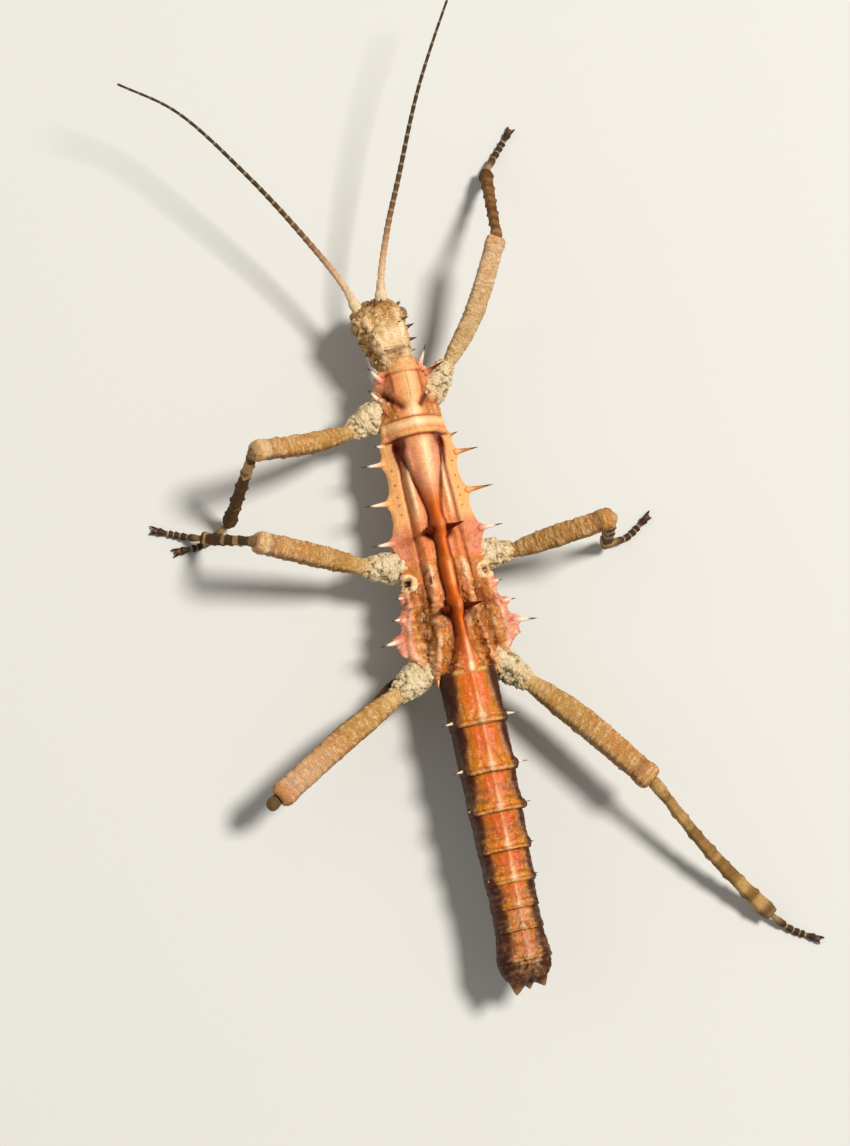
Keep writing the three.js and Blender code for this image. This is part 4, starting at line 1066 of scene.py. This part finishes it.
def head_place(share, turn, rim):
    """Where the drum's corners go: a boxy head with two crests, feeler sockets, cheeks and brow."""
    y = HEAD[0][0] + (HEAD[-1][0] - HEAD[0][0]) * share
    at = [row[0] for row in HEAD]
    wide, top, level, under = (through(list(zip(at, [row[i] for row in HEAD])), y) for i in range(1, 5))
    up = np.cos(turn)
    rise = np.where(up > 0, top - level, level - under)
    lift = np.sign(up) * np.abs(up) ** 0.72
    out = np.sign(np.sin(turn)) * np.abs(np.sin(turn)) ** 0.86
    cap = np.sqrt(np.clip(1 - np.clip((share - 0.93) / 0.07, 0, 1) ** 2 * 0.6, 0, 1))
    x, z = wide * out * cap, rise * lift * cap
    back = smooth(0.2, 0.8, up)
    crest = bell(np.abs(x) - 0.7 - 0.13 * y, 0.2) * span(y, -0.1, 0.5, 2.6, 3.2)
    z += back * (0.2 * crest - 0.08 * bell(x, 0.14))
    z += back * 0.14 * bell(y - 3.3, 0.3) * bell(x, 0.8) - back * 0.16 * bell(y - 0.3, 0.16)
    z += back * (0.14 * bell(np.hypot(np.abs(x) - 0.45, y - 1.0), 0.4)
                 - 0.12 * bell(y - 2.35, 0.14) * bell(x, 0.9))
    socket = sum(spot(x, y, sx, 3.35, 0.4) for sx in (-0.9, 0.6)) * smooth(0.0, 0.4, up)
    z += 0.12 * socket
    x += np.sign(x) * 0.1 * bell(y - EYE["y"], 0.55) * bell(turn ** 2 - 1.9, 1.2)
    cheek = furrow(turn * 0 + 1.2, y, (1.2, 0.2), (1.2, 1.9), 0.3) * bell(np.abs(turn) - 1.35, 0.2)
    x -= np.sign(x) * 0.14 * cheek
    return head_to_animal(np.stack([x * rim, y + 0.12 * (1 - rim) * smooth(0.5, 1, share),
                                    level + z * rim], axis=1))


def to_head(p):
    """The way back from head_to_animal."""
    s, c = math.sin(HEAD_TURN), math.cos(HEAD_TURN)
    x, y = p[:, 0] - HEAD_ROOT[0], p[:, 1] - HEAD_ROOT[1]
    return np.stack([x * c + y * s, -x * s + y * c, p[:, 2]], axis=1)


def head_pigment(p, relief):
    """The head's colours: pale crown, brown front and a dark stripe behind each eye, mostly painted shade.
    """
    x, y, z = to_head(p).T
    mottle, fine = clouds(p, 0.6, 21), clouds(p, 0.2, 22)
    paint = Pigment("straw", len(p))
    paint.lay("tan", smooth(-0.2, 0.6, mottle) * 0.5 + smooth(2.0, 2.8, y) * 0.25)
    paint.lay("straw_dark", smooth(0.2, 0.6, -fine) * smooth(1.6, 2.4, y) * 0.5)
    paint.lay("bark", smooth(2.0, 2.8, y) * 0.2)
    # Maroon along each cheek behind the eye is mostly painted shade.
    paint.lay("maroon", bell(z - 5.0, 0.5) * smooth(2.4, 1.8, y) * smooth(-0.3, 0.3, mottle) * 0.7)
    pale = bell(np.hypot((x - 0.2) / 1.1, y - 1.1), 0.75) * smooth(5.5, 5.9, z)
    pale = pale + bell(np.abs(x) - 0.7 - 0.13 * y, 0.2) * smooth(3.2, 2.8, y) * smooth(5.2, 5.6, z) * 0.8
    pale = pale + bell(np.hypot(np.abs(x) - 1.5, y - 3.0), 0.35) * smooth(4.6, 5.0, z) * 0.8
    paint.lay("cream", pale * (0.8 + 0.3 * fine))
    paint.lay("pink", pale * smooth(0.0, 0.6, -mottle) * 0.45)
    paint.lay("straw_dark", bell(y - 3.6, 0.2) * bell(x, 0.5) * 0.85 + bell(y - 0.25, 0.14) * 0.5)
    paint.lay("bark", smooth(4.6, 3.6, z) * 0.6 + smooth(0.1, 0.7, fine) * 0.3)
    # Painted highlight on the tops of the grains and painted shade in the creases between them.
    paint.lay("cream", smooth(0.8, 0.93, relief) * smooth(4.2, 5.0, z) * 0.5)
    paint.lay("straw_dark", smooth(0.62, 0.3, relief) * 0.9)
    return paint.rgb


# ---- Operators ------------------------------------------------------------------------------------------

CAMERA_AIM = (-1.141, 2.1045, 4.0)
STUDIO_LIGHTS = [  # shares of the camera's right, up and back, then distance, size, watts and tint
    ("key", (0.62, 0.4, 1), 0.55, 0.13, 3.5, (1, 0.97, 0.92)),
    ("fill", (-0.9, 0.2, 0.8), 0.35, 0.3, 0.14, (1, 0.98, 0.95)),
]


class INSECT_OT_stage(bpy.types.Operator):
    """Lay the floor and set the camera and the lights"""
    bl_idname = "insect.stage"
    bl_label = "Stage"

    def execute(self, context):
        size = sizes()
        deselect()
        bpy.ops.mesh.primitive_plane_add(size=6, location=(0, 0, 0))
        floor = context.object
        floor.name = "floor"
        r = Recipe("pale floor")
        r.dress({"Base Color": tuple(shade("floor")) + (1,), "Roughness": 0.9, "Specular IOR Level": 0.15})
        floor.data.materials.append(r.material)

        aim = ANIMAL_ORIGIN + Vector(CAMERA_AIM) * MM
        lean, tip = size.lean_left, size.lean_back
        back = Vector((-math.sin(lean) * math.cos(tip), -math.sin(tip), math.cos(lean) * math.cos(tip)))
        right = Vector((math.cos(lean), 0, math.sin(lean)))
        up = back.cross(right)
        c, s = math.cos(size.roll), math.sin(size.roll)
        axes = (right * c - up * s, right * s + up * c, back)
        data = bpy.data.cameras.new("camera")
        data.sensor_fit, data.sensor_height, data.sensor_width = "VERTICAL", 36, 36
        data.lens, data.clip_start, data.clip_end = size.lens, 0.005, 50
        camera = bpy.data.objects.new("camera", data)
        context.scene.collection.objects.link(camera)
        camera.matrix_world = Matrix.Translation(aim + back * size.camera_distance) @ Matrix(
            [[a[i] for a in axes] for i in range(3)]).to_4x4()
        context.scene.camera = camera

        for name, shares, *rest in STUDIO_LIGHTS:
            self.light(name, aim, sum((a * s for a, s in zip(axes, shares)), Vector()), *rest)
        world = bpy.data.worlds.new("studio")
        context.scene.world = world
        world.use_nodes = True
        glow = world.node_tree.nodes["Background"].inputs
        glow["Color"].default_value = (0.95, 0.94, 0.92, 1)
        glow["Strength"].default_value = 0.3
        context.scene.view_settings.view_transform = "Standard"
        return {"FINISHED"}

    def light(self, name, aim, way, distance, size, power, tint):
        """A round area light that looks at the aim from one way."""
        data = bpy.data.lights.new(name, "AREA")
        data.shape, data.size, data.energy, data.color = "DISK", size, power, tint
        lamp = bpy.data.objects.new(name, data)
        bpy.context.scene.collection.objects.link(lamp)
        way = way.normalized()
        lamp.location = aim + way * distance
        lamp.rotation_euler = way.to_track_quat("Z", "Y").to_euler()


class INSECT_OT_thorax(bpy.types.Operator):
    """Build the three rings of the thorax as one skin with its ridges, knobs and spines"""
    bl_idname = "insect.thorax"
    bl_label = "Thorax"

    def execute(self, context):
        body, _, _ = tube("thorax", 168, (17, 17), thorax_place)
        p, n = corners(body), normals(body)
        rough = thorax_grain(p)
        relief = 0.55 * crumple(p, 0.95, 3) + 0.45 * crumple(p, 0.4, 33)
        lumpy = smooth(2.6, 1.0, p[:, 1]) * 0.1 + smooth(12.0, 12.6, p[:, 1]) * 0.07 + 0.012
        push(body, rough * ((relief - 0.6) * 0.4 + (grains(p, 0.26, 3) - 0.3) * 0.08)
             + clouds(p, 0.35, 8) * 0.016 + clouds(p, 0.75, 18) * lumpy * smooth(0.3, 0.8, np.abs(p[:, 0])))
        dye(body, thorax_pigment(p, n, rough, relief), np.clip(0.85 - rough * 0.8, 0.05, 1))
        parts = [body]
        for y, tip, sweep, lift, radius in FLANGE_SPINES:
            wide, edge = (v[0] for v in (thorax_row(np.array([y]))[i] for i in (0, 3)))
            start = wide + flange_reach(np.array([y]))[0] * 0.4 - 0.25
            low = "peach" if y > 5 else "pink"
            for side, shaft in ((1, "tan"), (-1, "ivory")):
                parts.append(spine((side * start, y, edge - 0.06), (side * tip, y + sweep, edge + lift),
                                   radius + 0.06, 0.05, (low, shaft if y > 5 else "ivory", "horn")))
        for side, root, tip, radius in BACK_SPINES:
            colours = ("pink", "ivory", "horn") if side < 0 or root[1] > 15 else ("pink", "furrow", "horn")
            if root[1] < 5:
                colours = ("furrow", "furrow", "horn") if root[1] > -3 else ("tan", "pink", "peach")
            parts.append(spine((side * root[0], *root[1:]), (side * tip[0], *tip[1:]), radius, 0.03,
                               colours))
        skin = join("thorax_skin", parts)
        finish_piece(skin, ("prothorax", "mesothorax", "metathorax"), cuticle("thorax"))
        return {"FINISHED"}


class INSECT_OT_abdomen(bpy.types.Operator):
    """Build the abdomen's overlapping plates with their corner spines and the tail lobes"""
    bl_idname = "insect.abdomen"
    bl_label = "Abdomen"

    def execute(self, context):
        body, _, _ = tube("abdomen", 128, (17, 17), abdomen_place)
        p = corners(body)
        steep = smooth(1.1, 1.3, np.abs(p[:, 0] - abdomen_middle(p[:, 1])))
        relief, t = crumple(p, 0.4, 4), abdomen_row(p[:, 1])[1]
        grainy = (0.3 + 0.7 * smooth(0.4, 0.75, t) + 0.4 * steep + smooth(-19, -22.5, p[:, 1]) * 0.6
                  + smooth(-9, -12.5, p[:, 1]) * 0.7)
        push(body, (relief - 0.6) * 0.07 * grainy + (grains(p, 0.24, 5) - 0.3) * 0.03
             + clouds(p, 0.5, 12) * 0.03)
        dye(body, abdomen_pigment(p, relief), 0.8 - 0.35 * steep - 0.3 * smooth(-20, -23, p[:, 1]))
        parts = [body]
        for plate, tip in ABDOMEN_SPINES:
            y = ABDOMEN_JOINTS[plate + 1]
            crest = abdomen_row(np.array([y + 0.5]))[3]
            middle = abdomen_middle(y)
            for side in (1, -1):
                root = (middle + side * (PLATE_WIDE[plate + 1] - 0.05), y + 0.45, crest[0] - 0.5)
                point = (middle + side * tip, y + 0.3, crest[0] - 0.42)
                parts.append(spine(root, point, 0.2, 0.02, ("gold", "cream", "straw_dark")))
        middle = abdomen_middle(-25.0)
        for root, tip, radius in TAIL_LOBES:
            parts.append(self.lobe((middle + root[0], *root[1:]), (middle + tip[0], *tip[1:]), radius))
        skin = join("abdomen_skin", parts)
        finish_piece(skin, [f"abdomen_{n}" for n in range(2, 11)], cuticle("abdomen"))
        return {"FINISHED"}

    def lobe(self, root, tip, radius):
        """A wrinkled pointed lobe of the tail, painted like the last plate and pale at its point."""
        obj, share, _ = limb("lobe", Route([root, tip], (1, 0, 0.01)), 40, (31,), lambda s, turn: radius * (
            0.97 * (1 - s) ** 0.85 + 0.03) * smooth(-0.05, 0.13, s))
        p = corners(obj)
        push(obj, (crumple(p, 0.35, 8) - 0.6) * 0.14 * (1 - share))
        fine = clouds(p, 0.28, 19)
        paint = Pigment("bark", len(p))
        paint.lay("maroon", smooth(-0.35, 0.25, -fine) * 0.85)
        paint.lay("hip", smooth(0.3, 0.6, fine) * 0.5)
        paint.lay("band", smooth(0.6, 1.0, share) * 0.45)
        dye(obj, paint.rgb, 0.3)
        return obj


class INSECT_OT_head(bpy.types.Operator):
    """Build the grainy head with its tubercles, mouthparts and palps"""
    bl_idname = "insect.head"
    bl_label = "Head"

    def execute(self, context):
        body, _, _ = tube("head", 112, (9, 11), head_place)
        p = corners(body)
        relief = 0.5 * crumple(p, 0.85, 6) + 0.5 * crumple(p, 0.4, 7)
        height = sizes().grain_height / MM
        push(body, (relief - 0.6) * height * 4.5 + clouds(p, 0.6, 31) * 0.1
             + (grains(p, 0.2, 41) - 0.3) * 0.06)
        near = [np.linalg.norm(to_head(p) - (side * EYE["x"], EYE["y"], EYE["z"]), axis=1)
                for side in (1, -1)]
        push(body, (bell(near[0] - 0.56, 0.13) + bell(near[1] - 0.56, 0.13)) * 0.14)
        dye(body, head_pigment(p, relief), 0.25)
        parts = [body]
        for root, tip, radius in HEAD_SPINES:
            for side in (1, -1):
                ends = [head_to_animal((side * q[0], q[1], q[2]))[0] for q in (root, tip)]
                shaft, point = ("bark", "horn") if root[1] > 3 or root[0] > 1 else ("straw", "bark")
                parts.append(spine(*ends, radius, 0, ("straw", shaft, point)))
        parts.append(self.palp([(-0.6, 4.02, 3.86), (0.6, 4.02, 3.86)], 0.3, "straw", "straw"))
        for side in (1, -1):
            for points, *rest in MOUTH_PARTS:
                parts.append(self.palp([(side * x, y, z) for x, y, z in points], *rest))
        skin = join("head_skin", parts)
        finish_piece(skin, ("head",), cuticle("head"))
        return {"FINISHED"}

    def palp(self, points, radius, near, far):
        """A jointed, blunt part of the mouth that goes from one colour to another."""
        route = Route(head_to_animal(points), side=(1, 0, 0.01))
        rings = len(points) - 1
        obj, share, _ = limb("palp", route, 20, (29,), lambda s, turn: radius * (
            0.86 + 0.14 * np.cos(2 * math.pi * (s * rings + 0.5))) * np.sqrt(np.clip(1.02 - s ** 6, 0, 1)))
        p = corners(obj)
        paint = Pigment(near, len(p))
        paint.lay(far, smooth(0.3, 0.95, share))
        paint.lay("straw_dark", smooth(0.0, 0.6, clouds(p, 0.3, 6)) * 0.5)
        dye(obj, paint.rgb, 0.45)
        push(obj, clouds(p, 0.3, 9) * 0.03)
        return obj


class INSECT_OT_eyes(bpy.types.Operator):
    """Set the two round eyes into the sides of the head"""
    bl_idname = "insect.eyes"
    bl_label = "Eyes"

    def execute(self, context):
        material = eye_material()
        for name, side in (("left", -1), ("right", 1)):
            deselect()
            bpy.ops.mesh.primitive_uv_sphere_add(segments=64, ring_count=40, radius=1)
            ball = context.object
            p = corners(ball)
            p = p * np.array([EYE["across"], EYE["along"], EYE["up"]])
            p += np.array([side * EYE["x"], EYE["y"], EYE["z"]])
            move_corners(ball, head_to_animal(p))
            ball.name = ball.data.name = f"eye_ball_{name}"
            finish_piece(ball, (f"eye_{name}",), material)
        return {"FINISHED"}


class INSECT_OT_feelers(bpy.types.Operator):
    """Build the two feelers of many short segments"""
    bl_idname = "insect.feelers"
    bl_label = "Feelers"

    def execute(self, context):
        size = sizes()
        root, tip = size.feeler_root / MM / 2, size.feeler_tip / MM / 2
        material = cuticle("feeler")
        for name, points in FEELERS.items():
            route = Route(points)
            first = 1.4 / route.length

            def joint(s):
                """Count of joints passed: short segments near the head, long ones further out."""
                return 34 * np.clip((s - first) / (1 - first), 0, 1) ** 0.8

            def radius(s, turn):
                whip = tip + (root - tip) * (1 - s) ** 1.25
                beat = joint(s) % 1
                whip = whip * (0.9 + 0.14 * smooth(0.35, 0.95, beat)
                               - 0.1 * bell(np.minimum(beat, 1 - beat), 0.06))
                scape = 0.35 - 0.08 * bell(s / first - 1.0, 0.12) + 0.02 * bell(s / first - 0.6, 0.3)
                pedicel = 0.27 * (1 - 0.25 * bell(s / first - 1.42, 0.06))
                r = np.where(s < first, scape, np.where(s < first * 1.42, pedicel, whip))
                return r * np.sqrt(np.clip((1 - s) / 0.004, 0.05, 1))

            obj, s, _ = limb(f"feeler_{name}", route, 22, (19, 19), radius)
            p = corners(obj)
            push(obj, ((grains(p, 0.16, 6) - 0.3) * 0.08 + clouds(p, 0.4, 7) * 0.05) * smooth(0.2, 0.0, s))
            paint = Pigment("hip", len(s))
            paint.lay("cream", smooth(0.1, 0.6, clouds(p, 0.3, 5)) * 0.5)
            paint.lay("maroon", smooth(0.25, 0.6, clouds(p, 0.22, 6)) * 0.45)
            paint.lay("pink", smooth(0.03, 0.1, s) * 0.3)
            paint.lay("tan", smooth(0.08, 0.2, s) * 0.4)
            paint.lay("bark", smooth(0.1, 0.32, s) * 0.9)
            paint.lay("feeler", smooth(0.16, 0.5, s) * 0.9)
            beat = joint(s) % 1
            ring = bell(np.minimum(beat, 1 - beat), 0.1) * smooth(first, first * 2, s)
            paint.lay("straw", ring * (0.6 - 0.35 * smooth(0.5, 1.0, s)))
            dye(obj, paint.rgb, 0.4)
            finish_piece(obj, (f"antenna_root_{name}", f"antenna_{name}"), material)
        return {"FINISHED"}


class INSECT_OT_legs(bpy.types.Operator):
    """Build the six legs: grainy hip, ridged thigh, ringed shank and jointed foot with two claws"""
    bl_idname = "insect.legs"
    bl_label = "Legs"

    def execute(self, context):
        hip_skin, thigh_skin, shank_skin, foot_skin = (cuticle(part) for part in (
            "hip", "thigh", "shank", "foot"))
        for seed, (name, (points, bow, bends)) in enumerate(LEGS.items()):
            joints = dict(zip(LEG_JOINTS, np.array(points, float)))
            thick, thin, swell = LEG_SIZES[name.split("_")[0]]
            side = np.cross((0, 0, 1), joints["knee"] - joints["neck"])
            side /= np.linalg.norm(side)
            finish_piece(self.hip(name, joints, side, seed), (f"coxa_{name}",), hip_skin)
            finish_piece(self.thigh(name, joints, bow, thick, side, seed), (f"femur_{name}",),
                         thigh_skin)
            finish_piece(self.shank(name, joints, bends, thin, swell, side, seed), (f"tibia_{name}",),
                         shank_skin)
            finish_piece(self.foot(name, joints, side), (f"tarsus_{name}",), foot_skin)
        return {"FINISHED"}

    def wrinkles(self, s, turn, route, size, seed, along=1.8):
        """Crumpled relief with its folds running across the limb."""
        return crumple(np.stack([s * route.length * along, np.cos(turn) * 0.7, np.sin(turn) * 0.7], axis=1),
                       size, seed)

    def hip(self, name, joints, side, seed):
        """A short lumpy cone with a pale crust, from the body to the root of the thigh."""
        end = joints["neck"] + (joints["knee"] - joints["neck"]) * 0.05
        route = Route([joints["hip"], (joints["hip"] + end) / 2, end], side)
        obj, s, turn = limb(f"hip_{name}", route, 72, (89,), lambda s, turn: through(HIP_PROFILE, s) * (
            1 + 0.05 * np.cos(3 * turn + seed)))
        p = corners(obj)
        relief = (self.wrinkles(s, turn, route, 0.8, 6 + seed, 1.25) + crumple(p, 0.42, 7 + seed)) / 2
        height = sizes().grain_height / MM
        push(obj, (relief - 0.6) * height * 5.5 + (grains(p, 0.2, 6) - 0.3) * 0.04
             + clouds(p, 0.6, 14) * 0.08)
        paint = Pigment("hip", len(s))
        paint.lay("straw", smooth(-0.2, 0.6, clouds(p, 0.8, 5)) * 0.4 + smooth(0.75, 0.95, s) * 0.5)
        # Ivory on the tops of the wrinkles is painted highlight; dark straw in the creases is painted shade,
        # beside a dark seam where the hip narrows.
        paint.lay("ivory", smooth(0.74, 0.95, relief) * 0.5)
        paint.lay("straw_dark", smooth(0.66, 0.35, relief) * 0.9 + bell(s - 0.7, 0.02) * 0.4)
        paint.lay("bark", smooth(3.6, 2.9, p[:, 2]) * 0.4)
        dye(obj, paint.rgb, 0.2)
        return join(f"hip_{name}", [obj])

    def thigh(self, name, joints, bow, thick, side, seed):
        """A bowed four-edged thigh with fine folds across it."""
        middle = joints["neck"] * 0.55 + joints["knee"] * 0.45 + np.array(bow)
        route = Route([joints["neck"], middle, joints["knee"]], side)

        def radius(s, turn):
            ridged = 1 + 0.055 * np.cos(4 * (turn - math.pi / 4)) * smooth(0.1, 0.25, s)
            return thick * through(THIGH_PROFILE, s) * ridged

        obj, s, turn = limb(f"thigh_{name}", route, 64, (17, 9), radius)
        p = corners(obj)
        relief = self.wrinkles(s, turn, route, 0.5, 16 + seed, 2.2)
        push(obj, (relief - 0.6) * 0.09 + (grains(p, 0.22, 5) - 0.3) * 0.04 + clouds(p, 0.6, 24) * 0.04
             + self.teeth(s, turn, route.length, seed))
        paint = Pigment("thigh", len(s))
        mottle = clouds(p, 0.9, 25 + seed)
        paint.lay("straw", smooth(0.25, 0.02, s) * 0.8 + smooth(0.0, 0.8, mottle) * 0.45
                  + (0.3 if name == "fore_right" else 0))
        paint.lay("tan", smooth(0.0, 0.7, -mottle) * 0.45)
        paint.lay("shank", smooth(4.6, 3.2, p[:, 2]) * 0.2 + bell(s - 0.89, 0.03) * 0.35)
        # Bark along the thigh's sides is painted shade.
        paint.lay("bark", bell(np.abs(turn) - 1.8, 0.45) * smooth(0.05, 0.2, s) * 0.4)
        paint.lay("pink", smooth(0.3, 0.85, s) * {"hind_left": 0.34, "fore_right": 0.3}.get(name, 0.12))
        knee = smooth(0.87, 0.94, s) * smooth(-0.7, 0.1, mottle)
        ashen = {"fore_right": 0.3 + 0 * s, "fore_left": knee * 0.5, "mid_left": knee * 0.5,
                 "hind_left": span(s, 0.45, 0.8, 0.88, 1.0) * 0.25}
        paint.lay("hip", ashen.get(name, 0 * s))
        paint.lay("gold", bell(s - 0.98, 0.03) * smooth(-0.2, 0.4, mottle) * 0.5)
        # Painted highlight on the tops of the folds and painted shade in the creases between them.
        paint.lay("cream", smooth(0.8, 0.97, relief) * 0.32)
        paint.lay("straw_dark", smooth(0.46, 0.14, relief) * 0.6)
        dye(obj, paint.rgb, 0.35)
        return join(f"thigh_{name}", [obj])

    def teeth(self, s, turn, length, seed):
        """Small blunt teeth along the four ridges of a thigh or shank."""
        height = 0
        for k, ridge in enumerate((math.pi / 4, 3 * math.pi / 4, -3 * math.pi / 4, -math.pi / 4)):
            apart = np.abs((turn - ridge + math.pi) % (2 * math.pi) - math.pi)
            beat = (s * length / (1.25 + 0.2 * k) + 0.37 * k + 0.21 * seed) % 1
            height = height + 0.1 * bell(apart, 0.28) * bell(beat - 0.5, 0.13)
        return height * span(s, 0.08, 0.2, 0.9, 1.0)

    def shank(self, name, joints, bends, thin, swell, side, seed):
        """A thin four-edged shank with pale rings, bent where the table says so."""
        route = Route([joints["knee"], *bends, joints["ankle"]], side)

        def radius(s, turn):
            ridged = 1 + 0.07 * np.cos(4 * (turn - math.pi / 4)) * smooth(0.05, 0.15, s)
            return (thin * through(SHANK_PROFILE, s) + swell * s) * ridged

        obj, s, turn = limb(f"shank_{name}", route, 48, (17, 11), radius, 1.3 if "left" in name else 1.15)
        p = corners(obj)
        relief = self.wrinkles(s, turn, route, 0.45, 36 + seed, 1.6)
        push(obj, (relief - 0.6) * 0.06 + clouds(p, 0.5, 34) * 0.04
             + self.teeth(s, turn, route.length, seed))
        hind = name.startswith("hind")
        rusty = name == "fore_right"
        wave = clouds(np.stack([s * route.length, s * 0, s * 0], axis=1), 0.8, 51 + seed)
        ring = smooth(0.12, 0.4, wave + 0.25 * clouds(p, 0.4, 61)) if not hind else smooth(-0.6, 0.3, wave)
        paint = Pigment("shank", len(s))
        paint.lay("band", ring * (0.22 if rusty else 0.85) + bell(s - 0.03, 0.03) * 0.5)
        paint.lay("ember", 0 * s + 0.1 * rusty)
        paint.lay("cream", bell(turn, 0.4) * (bell(s - 0.33, 0.025) + bell(s - 0.55, 0.025)) * 0.4)
        paint.lay("thigh", (0.4 if hind else 0.1) + smooth(0.2, 0.7, clouds(p, 0.6, 61)) * 0.2)
        paint.lay("foot", smooth(0.9, 0.97, s) * 0.5 + (0.6 if name == "hind_left" else 0))
        # Dark straw in the creases is painted shade.
        paint.lay("straw_dark", smooth(0.42, 0.1, relief) * 0.6)
        dye(obj, paint.rgb, 0.35)
        return join(f"shank_{name}", [obj])

    def foot(self, name, joints, side):
        """A foot of five segments that ends in two claws and a sole, kept above the floor."""
        route = Route([joints["ankle"], joints["pad"], joints["toe"]], side)
        last = len(FOOT_JOINTS) - 2

        def segment(s):
            """Number of the foot's segment, and the share along it."""
            i = np.clip(np.searchsorted(FOOT_JOINTS, s, side="right") - 1, 0, last)
            return i, (s - FOOT_JOINTS[i]) / (FOOT_JOINTS[i + 1] - FOOT_JOINTS[i])

        def radius(s, turn):
            i, t = segment(s)
            swell = 0.74 + 0.3 * smooth(0.1, 0.85, t) - 0.3 * smooth(0.88, 1, t) * (i < last)
            slim = np.where(i == last, 0.86 + 0.22 * smooth(0.3, 0.9, t), 1)
            return 0.235 * swell * slim * np.sqrt(np.clip((1 - s) / 0.03, 0.1, 1))

        obj, s, _ = limb(f"foot_{name}", route, 36, (13, 9), radius)
        i, t = segment(s)
        p = corners(obj)
        push(obj, (grains(p, 0.12, 6) - 0.3) * 0.02)
        paint = Pigment("foot", len(s))
        paint.lay("band", (bell(t - 0.06, 0.12) * (i > 0) + bell(s - 0.12, 0.12) * 0.8) * 0.75)
        paint.lay("straw_dark", smooth(0.2, 0.7, clouds(p, 0.4, 71)) * 0.5)
        dye(obj, paint.rgb, 0.4)
        parts = [obj]
        toe = joints["toe"]
        ahead = (toe - joints["pad"]) / np.linalg.norm(toe - joints["pad"])
        long = sizes().claw_length / MM
        for hand in (1, -1):
            root = toe - ahead * 0.12 + side * hand * 0.07
            crook = toe + ahead * long * 0.6 + side * hand * 0.2 + np.array([0, 0, 0.05])
            tip = toe + ahead * long + side * hand * 0.26
            tip[2] = 0.06
            claw_route = Route([root, crook, tip], side=(0, 0, 1))
            claw, cs, _ = limb("claw", claw_route, 14, (19,), lambda s, turn: 0.11 * (1 - s) ** 0.7 + 0.008)
            horny = Pigment("foot", len(cs))
            horny.lay("horn", smooth(0.2, 0.6, cs))
            dye(claw, horny.rgb, 0.85)
            parts.append(claw)
        pad_route = Route([toe - ahead * 0.05, toe + ahead * 0.18,
                           toe + ahead * 0.36 - np.array([0, 0, 0.08])], side)
        pad, ps, _ = limb("sole", pad_route, 20, (15,), lambda s, turn: 0.17 * np.sqrt(
            np.clip(1 - s ** 3, 0.02, 1)) * (0.7 + 0.3 * smooth(0, 0.5, s)))
        dye(pad, Pigment("bark", len(ps)).rgb, 0.3)
        parts.append(pad)
        whole = join(f"foot_{name}", parts)
        at = corners(whole)
        at[:, 2] = np.maximum(at[:, 2], FOOT_CLEARANCE)
        move_corners(whole, at)
        return whole


class INSECT_PT_panel(bpy.types.Panel):
    """Lists the makers of the pieces, the sizes and the colours"""
    bl_label = "Stick insect"
    bl_idname = "INSECT_PT_panel"
    bl_space_type = "VIEW_3D"
    bl_region_type = "UI"
    bl_category = "Insect"

    def draw(self, context):
        column = self.layout.column()
        for maker in MAKERS:
            column.operator(maker.bl_idname)
        for group in (context.scene.insect_sizes, context.scene.insect_colours):
            for key in group.__annotations__:
                column.prop(group, key)


MAKERS = (INSECT_OT_stage, INSECT_OT_thorax, INSECT_OT_abdomen, INSECT_OT_head, INSECT_OT_eyes,
          INSECT_OT_feelers, INSECT_OT_legs)
CLASSES = (InsectSizes, InsectColours, *MAKERS, INSECT_PT_panel)


def register():
    for item in CLASSES:
        bpy.utils.register_class(item)
    bpy.types.Scene.insect_sizes = PointerProperty(type=InsectSizes)
    bpy.types.Scene.insect_colours = PointerProperty(type=InsectColours)


def unregister():
    del bpy.types.Scene.insect_colours, bpy.types.Scene.insect_sizes
    for item in reversed(CLASSES):
        bpy.utils.unregister_class(item)


def main():
    register()
    bpy.ops.insect.stage()
    bpy.ops.insect.thorax()
    bpy.ops.insect.abdomen()
    bpy.ops.insect.head()
    bpy.ops.insect.eyes()
    bpy.ops.insect.feelers()
    bpy.ops.insect.legs()


if __name__ == "__main__":
    main()
